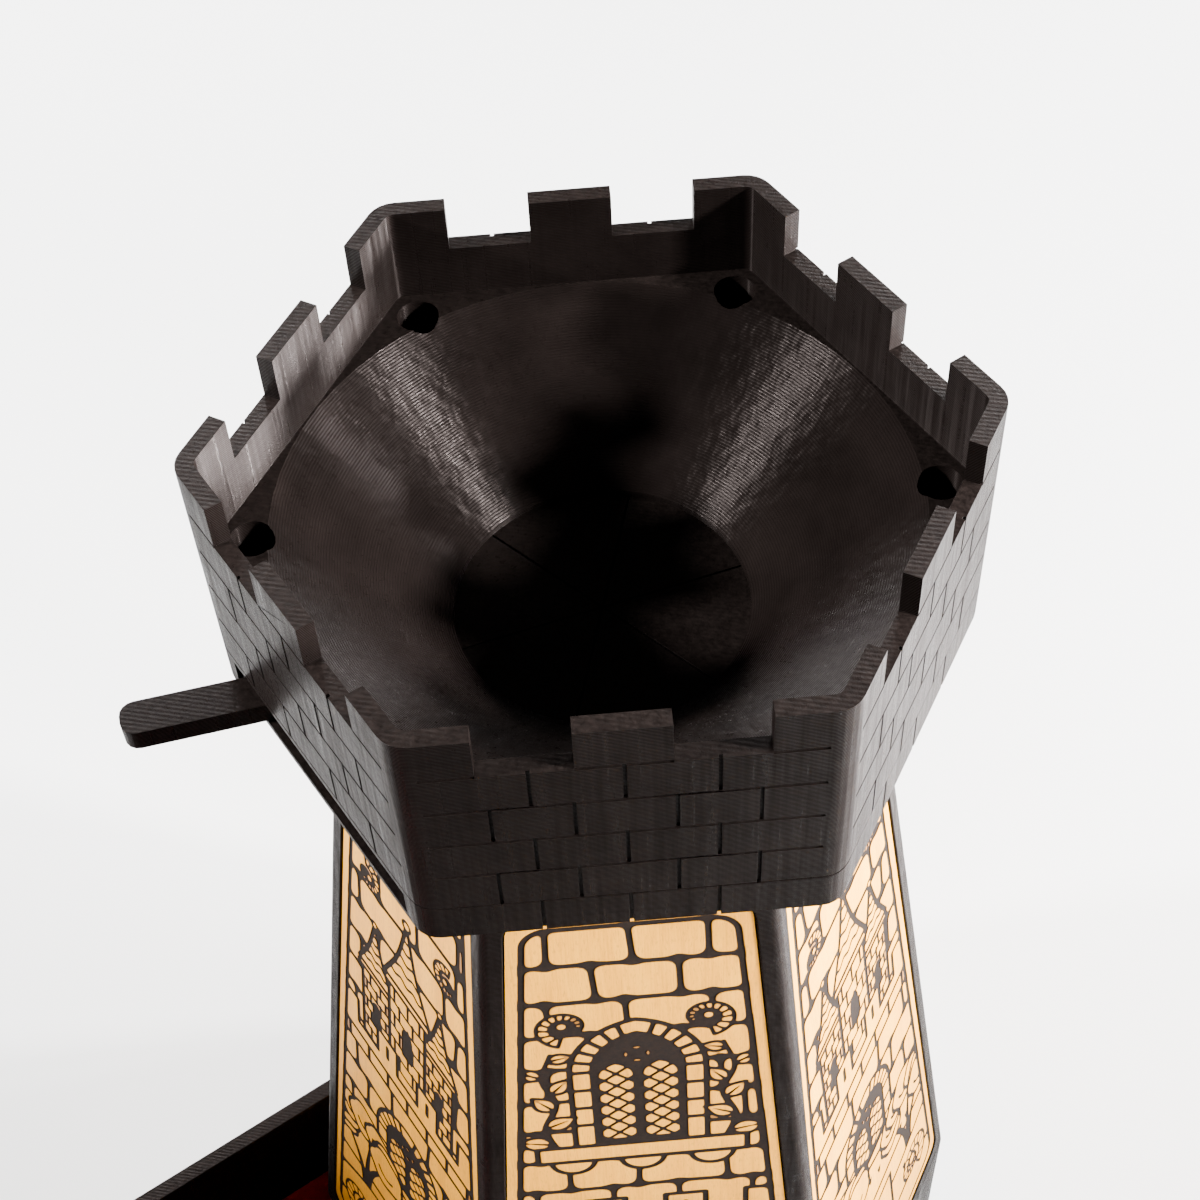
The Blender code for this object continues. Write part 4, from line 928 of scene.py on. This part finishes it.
def engraved_mesh(design, outline, thickness):
    """A panel in its own plane: bare wood, worn rims and engraved lines."""
    art = Drawing(outline)
    design(art, art.high[1] - FRAME_INSET)
    art.keep_inside(rounded_frame(art), FRAME_LINE)
    art.smooth()

    rings = [("side", outline)]
    rings += [("edge", simplified(loop)) for loop in art.contours(0.0) if len(loop) > 8]
    rings += [("rim", simplified(loop)) for loop in art.contours(RIM_WIDTH) if len(loop) > 8]
    places = []
    links = []
    kinds = []
    for kind, ring in rings:
        start = len(places)
        count = len(ring)
        places += [Vector(place) for place in ring]
        kinds += [kind] * count
        links += [(start + k, start + (k + 1) % count) for k in range(count)]
    spots, _, faces, sources, _, _ = delaunay_2d_cdt(places, links, [], 1, SIMPLE_ERROR / 100.0)
    is_edge = [any(kinds[source] == "edge" for source in origin) for origin in sources]

    mesh = bmesh.new()
    burn = mesh.verts.layers.float.new("burn")
    drops = [RIM_DROP if edge else 0.0 for edge in is_edge]
    vertices = [mesh.verts.new((spot.x, spot.y, -drop)) for spot, drop in zip(spots, drops)]
    corners = np.array(faces)
    middles = np.array([(spot.x, spot.y) for spot in spots])[corners].mean(axis=1)
    in_ink = art.sample(middles) < 0.0
    ink = []
    for face, inked in zip(faces, in_ink):
        made = mesh.faces.new([vertices[index] for index in face])
        if inked and all(is_edge[index] for index in face):
            made.material_index = 1
            ink.append(made)
    for vertex, edge in zip(vertices, is_edge):
        vertex[burn] = 1.0 if edge else 0.0
    sunk = bmesh.ops.extrude_face_region(mesh, geom=ink)["geom"]
    bmesh.ops.delete(mesh, geom=ink, context="FACES_ONLY")
    floor = [item for item in sunk if isinstance(item, bmesh.types.BMVert)]
    bmesh.ops.translate(mesh, verts=floor, vec=(0.0, 0.0, -ENGRAVING_DEPTH))
    for face in mesh.faces:
        if any(vertex.co.z < -ENGRAVING_DEPTH / 2.0 for vertex in face.verts):
            face.material_index = 1
    border = [edge for edge in mesh.edges if edge.is_boundary]
    sides = bmesh.ops.extrude_edge_only(mesh, edges=border)["geom"]
    back = [item for item in sides if isinstance(item, bmesh.types.BMVert)]
    bmesh.ops.translate(mesh, verts=back, vec=(0.0, 0.0, -thickness))
    border = [edge for edge in mesh.edges if edge.is_boundary]
    bmesh.ops.contextual_create(mesh, geom=border)
    for face in mesh.faces:
        if len(face.verts) > 4 or all(vertex in back for vertex in face.verts):
            face.material_index = 0
    bmesh.ops.recalc_face_normals(mesh, faces=mesh.faces)
    return mesh


def make_panels(wood, char):
    """Six engraved panels in three designs."""
    origin, up, outward, thickness = panel_axes()
    outline = panel_outline(origin, up, outward)
    if np.cross(outline[1] - outline[0], outline[2] - outline[1]) < 0.0:
        outline = outline[::-1]
    patterns = [engraved_mesh(design, outline, thickness) for design in DESIGNS]
    axis = Matrix.Translation((0.0, TOWER_Y, 0.0))
    for side in range(SIDES):
        mesh = patterns[PANEL_DESIGNS[side]].copy()
        layer = mesh.loops.layers.uv.new("panel")
        for face in mesh.faces:
            for loop in face.loops:
                place = loop.vert.co
                across = place.x / GRAIN_SPAN + side * GRAIN_SHIFT[0]
                along = place.y / GRAIN_SPAN + side * GRAIN_SHIFT[1]
                loop[layer].uv = (across, along)
        turn = Matrix.Rotation(SIDE_ANGLE * side, 4, "Z")
        local = Matrix((Vector((1.0, 0.0, 0.0)), up, outward)).transposed().to_4x4()
        local.translation = origin
        place = axis @ turn @ axis.inverted() @ local
        bmesh.ops.transform(mesh, matrix=place, verts=mesh.verts)
        number = side + 1
        panel = new_piece("engraved_panel_{}".format(number), mesh)
        dress(panel, [wood, char], "tower", "maple_ply", "wood_panel_{}".format(number))
    for pattern in patterns:
        pattern.free()


# Screws and felt


def make_screws(material):
    """Six cap screws with hexagonal sockets."""
    for number in range(1, SIDES + 1):
        node = "crown_screw_{}".format(number)
        low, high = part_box(node)
        centre = (low + high) / 2.0
        head_radius = (high.x - low.x) / 2.0
        seat = high.z - SCREW_HEAD_HEIGHT
        profile = [(0.0, low.z), (SCREW_RADIUS, low.z), (SCREW_RADIUS, seat)]
        profile += [(head_radius, seat), (head_radius, high.z), (0.0, high.z)]
        mesh = bmesh.new()
        points = [mesh.verts.new((centre.x + radius, centre.y, height)) for radius, height in profile]
        lines = [mesh.edges.new(ends) for ends in zip(points, points[1:])]
        bmesh.ops.spin(
            mesh,
            geom=points + lines,
            cent=centre,
            axis=(0.0, 0.0, 1.0),
            angle=math.tau,
            steps=SCREW_STEPS,
            use_merge=True,
        )
        merge_flat_faces(mesh)
        screw = new_piece("cap_screw_{}".format(number), mesh)
        mesh = bmesh.new()
        bmesh.ops.create_cone(
            mesh,
            cap_ends=True,
            segments=SIDES,
            radius1=SOCKET_RADIUS,
            radius2=SOCKET_RADIUS,
            depth=SOCKET_DEPTH * 2.0,
            matrix=Matrix.Translation((centre.x, centre.y, high.z)),
        )
        cut(screw, new_piece("screw_socket", mesh))
        soften_edges(screw, FINE_EDGE)
        dress(screw, [material], "tower", "black_steel", node)


def make_felt(material):
    """The felt sheet, with a slightly uneven nap."""
    low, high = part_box("tray_felt")
    mesh = bmesh.new()
    mesh.from_mesh(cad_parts["tray_felt"].data)
    merge_flat_faces(mesh)
    for axis in (0, 1):
        normal = Vector((1.0, 0.0, 0.0)) if axis == 0 else Vector((0.0, 1.0, 0.0))
        place = low[axis] + FELT_GRID
        while place < high[axis] - FELT_GRID / 2.0:
            geom = mesh.verts[:] + mesh.edges[:] + mesh.faces[:]
            bmesh.ops.bisect_plane(
                mesh, geom=geom, dist=MM / 10000.0, plane_co=normal * place, plane_no=normal
            )
            place += FELT_GRID
    area = sum(face.calc_area() for face in mesh.faces if face.normal.z > 0.9)
    for vertex in mesh.verts:
        if vertex.co.z > high.z - MM / 100.0:
            swell = noise.noise(vertex.co * FINE_NAP_SCALE) * FINE_NAP_HEIGHT
            swell += noise.noise(vertex.co * BROAD_NAP_SCALE) * BROAD_NAP_HEIGHT
            vertex.co.z += swell - NAP_DROP
    felt = new_piece("felt_sheet", mesh)
    felt.data.materials.clear()
    felt.data.shade_smooth()
    felt.data.set_sharp_from_angle(angle=EDGE_ANGLE)
    dress(felt, [material], "tray", "red_felt", "tray_felt")


# Materials


class Nodes:
    """Short calls for building one material's node tree."""

    def __init__(self, name):
        self.material = bpy.data.materials.new(name)
        self.material.use_nodes = True
        self.tree = self.material.node_tree
        self.shader = self.tree.nodes["Principled BSDF"]

    def add(self, kind, **settings):
        node = self.tree.nodes.new(kind)
        for key, value in settings.items():
            setattr(node, key, value)
        return node

    def link(self, source, target):
        self.tree.links.new(source, target)

    def feed(self, node, *values):
        """Link or set a node's first inputs in turn, leaving out those given as None."""
        for socket, value in zip(node.inputs, values):
            if isinstance(value, bpy.types.NodeSocket):
                self.link(value, socket)
            elif value is not None:
                socket.default_value = value

    def drive(self, name, source):
        """Let a value drive one of the shader's sockets."""
        self.link(source, self.shader.inputs[name])

    def fix(self, name, value):
        """Set one of the shader's sockets, the same all over."""
        self.shader.inputs[name].default_value = value

    def math(self, operation, first, second=0.0):
        node = self.add("ShaderNodeMath", operation=operation)
        self.feed(node, first, second)
        return node.outputs[0]

    def total(self, *parts, plus=0.0):
        """Values times their weights, added up."""
        terms = [self.math("MULTIPLY", value, weight) for value, weight in parts]
        result = terms[0]
        for term in terms[1:] + ([plus] if plus else []):
            result = self.math("ADD", result, term)
        return result

    def noise(self, vector, scale, detail=2.0, rough=0.5):
        node = self.add("ShaderNodeTexNoise")
        self.feed(node, vector, None, scale, detail, rough)
        return node.outputs["Fac"]

    def stretch(self, vector, scale, turn=(0.0, 0.0, 0.0)):
        node = self.add("ShaderNodeMapping")
        self.feed(node, vector, None, turn, scale)
        return node.outputs[0]

    def split(self, vector):
        node = self.add("ShaderNodeSeparateXYZ")
        self.link(vector, node.inputs[0])
        return node.outputs

    def ramp(self, value, *stops):
        node = self.add("ShaderNodeValToRGB")
        self.link(value, node.inputs[0])
        points = node.color_ramp.elements
        while len(points) < len(stops):
            points.new(0.5)
        for point, (place, colour) in zip(points, stops):
            point.position = place
            point.color = (*colour, 1.0)
        return node.outputs[0]

    def blend(self, share, first, second):
        node = self.add("ShaderNodeMix", data_type="FLOAT")
        self.feed(node, share, None, first, second)
        return node.outputs[0]

    def blend_colour(self, share, first, second):
        node = self.add("ShaderNodeMix", data_type="RGBA")
        for socket, value in zip((node.inputs[0], node.inputs[6], node.inputs[7]), (share, first, second)):
            if isinstance(value, bpy.types.NodeSocket):
                self.link(value, socket)
            else:
                socket.default_value = value
        return node.outputs[2]

    def bump(self, height, strength, distance):
        node = self.add("ShaderNodeBump")
        node.inputs["Strength"].default_value = strength
        node.inputs["Distance"].default_value = distance
        self.link(height, node.inputs["Height"])
        self.link(node.outputs[0], self.shader.inputs["Normal"])


def black_print_material():
    """Satin black filament with layer lines, and raster lines on level faces."""
    n = Nodes("black_print_satin")
    place = n.add("ShaderNodeTexCoord").outputs["Object"]
    across, along, up = n.split(place)
    facing = n.split(n.add("ShaderNodeNewGeometry").outputs["True Normal"])
    level = n.math("GREATER_THAN", n.math("ABSOLUTE", facing[2]), LEVEL_SHARE)

    layer = n.math("SINE", n.math("MULTIPLY", up, math.tau / LAYER_HEIGHT))
    uneven = n.noise(n.stretch(place, (6.0, 6.0, 2600.0)), 1.0, 3.0, 0.7)
    ripple = n.noise(n.stretch(place, (420.0, 420.0, 30.0)), 1.0, 2.0, 0.5)
    layers = n.total((layer, 0.5), (uneven, 0.6), (ripple, 2.0))
    raster = n.math("MULTIPLY", n.math("SUBTRACT", across, along), math.tau / RASTER_PITCH)
    raster = n.math("SINE", raster)
    mottle = n.noise(place, 1100.0, 4.0, 0.75)
    worn = n.math("MULTIPLY", raster, n.noise(place, 260.0, 2.0, 0.6))
    rasters = n.total((worn, 0.36), (mottle, 1.3))
    n.bump(n.blend(level, layers, rasters), 1.0, PRINT_RELIEF)

    cloud = n.noise(place, 90.0, 4.0, 0.6)
    upright_colour = n.ramp(cloud, (0.3, (0.0038, 0.0027, 0.0024)), (0.75, (0.0068, 0.0049, 0.0044)))
    # Level faces get a lighter, more speckled colour than the upright ones. The speckle is the printed top
    # skin's own; the extra lightness is painted light on the tops.
    level_speckle_painted_lighter = n.ramp(mottle, (0.35, (0.0036, 0.0026, 0.0023)), (0.7, (0.0100, 0.0073, 0.0065)))
    n.drive("Base Color", n.blend_colour(level, upright_colour, level_speckle_painted_lighter))
    fine = n.noise(n.stretch(place, (20.0, 20.0, 900.0)), 1.0, 2.0, 0.6)
    streak = n.noise(n.stretch(place, (1100.0, 1100.0, 36.0)), 1.0, 2.0, 0.6)
    n.drive("Roughness", n.total((fine, 0.16), (streak, 0.5), plus=0.02))
    tangent = n.add("ShaderNodeCombineXYZ")
    n.feed(tangent, level, n.math("MULTIPLY", level, -1.0), n.math("SUBTRACT", 1.0, level))
    n.drive("Tangent", tangent.outputs[0])
    n.fix("Anisotropic", 0.9)
    n.fix("Specular IOR Level", 0.05)
    n.fix("Specular Tint", (1.0, 0.83, 0.79, 1.0))
    return n.material


def wood_material():
    """Pale plywood with fine upright grain, flecks and scorched rims."""
    n = Nodes("maple_ply_engraved")
    place = n.add("ShaderNodeUVMap", uv_map="panel").outputs[0]
    grain = n.noise(n.stretch(place, (260.0, 9.0, 1.0)), 1.0, 5.0, 0.65)
    broad = n.noise(n.stretch(place, (22.0, 2.2, 1.0)), 1.0, 3.0, 0.5)
    fleck = n.noise(n.stretch(place, (420.0, 60.0, 1.0)), 1.0, 2.0, 0.5)
    shade = n.total((grain, 0.6), (broad, 0.4))
    colour = n.ramp(
        shade,
        (0.30, (0.53, 0.210, 0.006)),
        (0.5, (0.75, 0.312, 0.010)),
        (0.7, (0.86, 0.395, 0.020)),
    )
    dashes = n.ramp(fleck, (0.56, (0.0, 0.0, 0.0)), (0.68, (1.0, 1.0, 1.0)))
    colour = n.blend_colour(n.math("MULTIPLY", dashes, 0.5), colour, (0.40, 0.17, 0.03, 1.0))
    burn = n.add("ShaderNodeAttribute", attribute_name="burn").outputs["Fac"]
    scorch = n.math("MULTIPLY", burn, n.total((broad, 0.6), plus=0.45))
    colour = n.blend_colour(scorch, colour, (0.10, 0.032, 0.012, 1.0))
    n.drive("Base Color", colour)
    n.drive("Roughness", n.total((grain, 0.2), plus=0.38))
    n.fix("Specular IOR Level", 0.15)
    n.bump(n.total((grain, 1.0), (dashes, -0.4)), 0.35, GRAIN_RELIEF)
    return n.material


def char_material():
    """The dark floor of the engraved lines."""
    n = Nodes("maple_ply_charred")
    place = n.add("ShaderNodeTexCoord").outputs["Object"]
    cloud = n.noise(place, 1200.0, 4.0, 0.7)
    colour = n.ramp(cloud, (0.3, (0.004, 0.0024, 0.0018)), (0.75, (0.014, 0.007, 0.004)))
    n.drive("Base Color", colour)
    n.drive("Roughness", n.total((cloud, 0.1), plus=0.85))
    n.fix("Specular IOR Level", 0.15)
    n.bump(cloud, 0.5, CHAR_RELIEF)
    return n.material


def steel_material():
    """Blackened steel with fine handling marks."""
    n = Nodes("black_steel_oxide")
    place = n.add("ShaderNodeTexCoord").outputs["Object"]
    cloud = n.noise(place, 700.0, 4.0, 0.6)
    colour = n.ramp(cloud, (0.3, (0.02, 0.02, 0.021)), (0.75, (0.06, 0.058, 0.057)))
    n.drive("Base Color", colour)
    n.drive("Roughness", n.total((cloud, 0.25), plus=0.28))
    n.fix("Metallic", 0.85)
    return n.material


def felt_material():
    """Red felt: short tangled fibres with a soft sheen."""
    n = Nodes("red_felt_nap")
    place = n.add("ShaderNodeTexCoord").outputs["Object"]
    swirl = n.noise(place, 420.0, 3.0, 0.6)
    fibres = n.noise(n.stretch(place, (5200.0, 900.0, 900.0), (0.0, 0.0, 0.6)), 1.0, 4.0, 0.7)
    crossing = n.noise(n.stretch(place, (900.0, 5200.0, 900.0), (0.0, 0.0, -0.4)), 1.0, 4.0, 0.7)
    tangle = n.math("MAXIMUM", fibres, crossing)
    shade = n.total((tangle, 0.7), (swirl, 0.3))
    colour = n.ramp(shade, (0.35, (0.17, 0.0015, 0.0035)), (0.7, (0.40, 0.0060, 0.0110)))
    n.drive("Base Color", colour)
    n.drive("Roughness", n.total((swirl, 0.1), plus=0.86))
    n.fix("Specular IOR Level", 0.1)
    n.fix("Sheen Weight", 0.12)
    n.fix("Sheen Roughness", 0.45)
    n.fix("Sheen Tint", (1.0, 0.12, 0.12, 1.0))
    n.bump(tangle, 0.7, FIBRE_RELIEF)
    return n.material


# Stage


def add_area_light(name, place, target, size, power, spread):
    """A soft square light aimed at a point, with its beam's spread in degrees."""
    data = bpy.data.lights.new(name, "AREA")
    data.size = size
    data.energy = power
    data.spread = math.radians(spread)
    light = bpy.data.objects.new(name, data)
    light.location = place
    aim = Vector(target) - Vector(place)
    light.rotation_euler = aim.to_track_quat("-Z", "Y").to_euler()
    bpy.context.scene.collection.objects.link(light)


def make_floor():
    """A plain white floor."""
    mesh = bmesh.new()
    bmesh.ops.create_grid(mesh, x_segments=1, y_segments=1, size=FLOOR_HALF)
    floor = new_piece("studio_floor", mesh)
    paint = Nodes("studio_floor_paint")
    paint.fix("Base Color", (0.95, 0.945, 0.94, 1.0))
    paint.fix("Roughness", 0.9)
    floor.data.materials.append(paint.material)


def make_lights():
    """Soft studio light: an even glow and the area lights."""
    world = bpy.data.worlds.new("studio")
    world.use_nodes = True
    glow = world.node_tree.nodes["Background"]
    glow.inputs["Color"].default_value = (1.0, 0.99, 0.98, 1.0)
    glow.inputs["Strength"].default_value = 0.12
    bpy.context.scene.world = world
    for light in LIGHTS:
        add_area_light(*light)


def make_camera():
    """The camera at the photograph's place and angle."""
    data = bpy.data.cameras.new("photo_camera")
    data.sensor_fit = "HORIZONTAL"
    data.angle = CAMERA_ANGLE
    data.clip_start = CAMERA_NEAREST
    camera = bpy.data.objects.new("photo_camera", data)
    camera.location = CAMERA_PLACE
    camera.rotation_euler = CAMERA_TURN
    bpy.context.scene.collection.objects.link(camera)
    bpy.context.scene.camera = camera


def make_tower():
    """Every piece of the tower and its tray."""
    black = black_print_material()
    make_crown(black)
    make_housing(black)
    make_softened("gate_ring", "lever_ring", "gate_ring", black, FINE_EDGE)
    for number in range(1, SIDES + 1):
        node = "gate_blade_{}".format(number)
        name = "iris_blade_{}".format(number)
        make_softened(node, name, node, black, FINE_EDGE, merged=False)
    make_softened("tower_shell", "flared_shell", "tower", black, SOFT_EDGE, 3)
    make_softened("tower_base", "tower_foot", "tower", black, SOFT_EDGE, 3)
    make_softened("exit_ramp", "dice_ramp", "tower", black, FINE_EDGE)
    for name in ("top", "middle", "bottom"):
        make_softened("baffle_" + name, name + "_baffle_plate", "tower", black, FINE_EDGE)
    make_softened("dice_tray", "tray_walls", "tray", black, SOFT_EDGE, 3)
    make_screws(steel_material())
    make_panels(wood_material(), char_material())
    make_felt(felt_material())


make_floor()
make_lights()
make_camera()
make_tower()
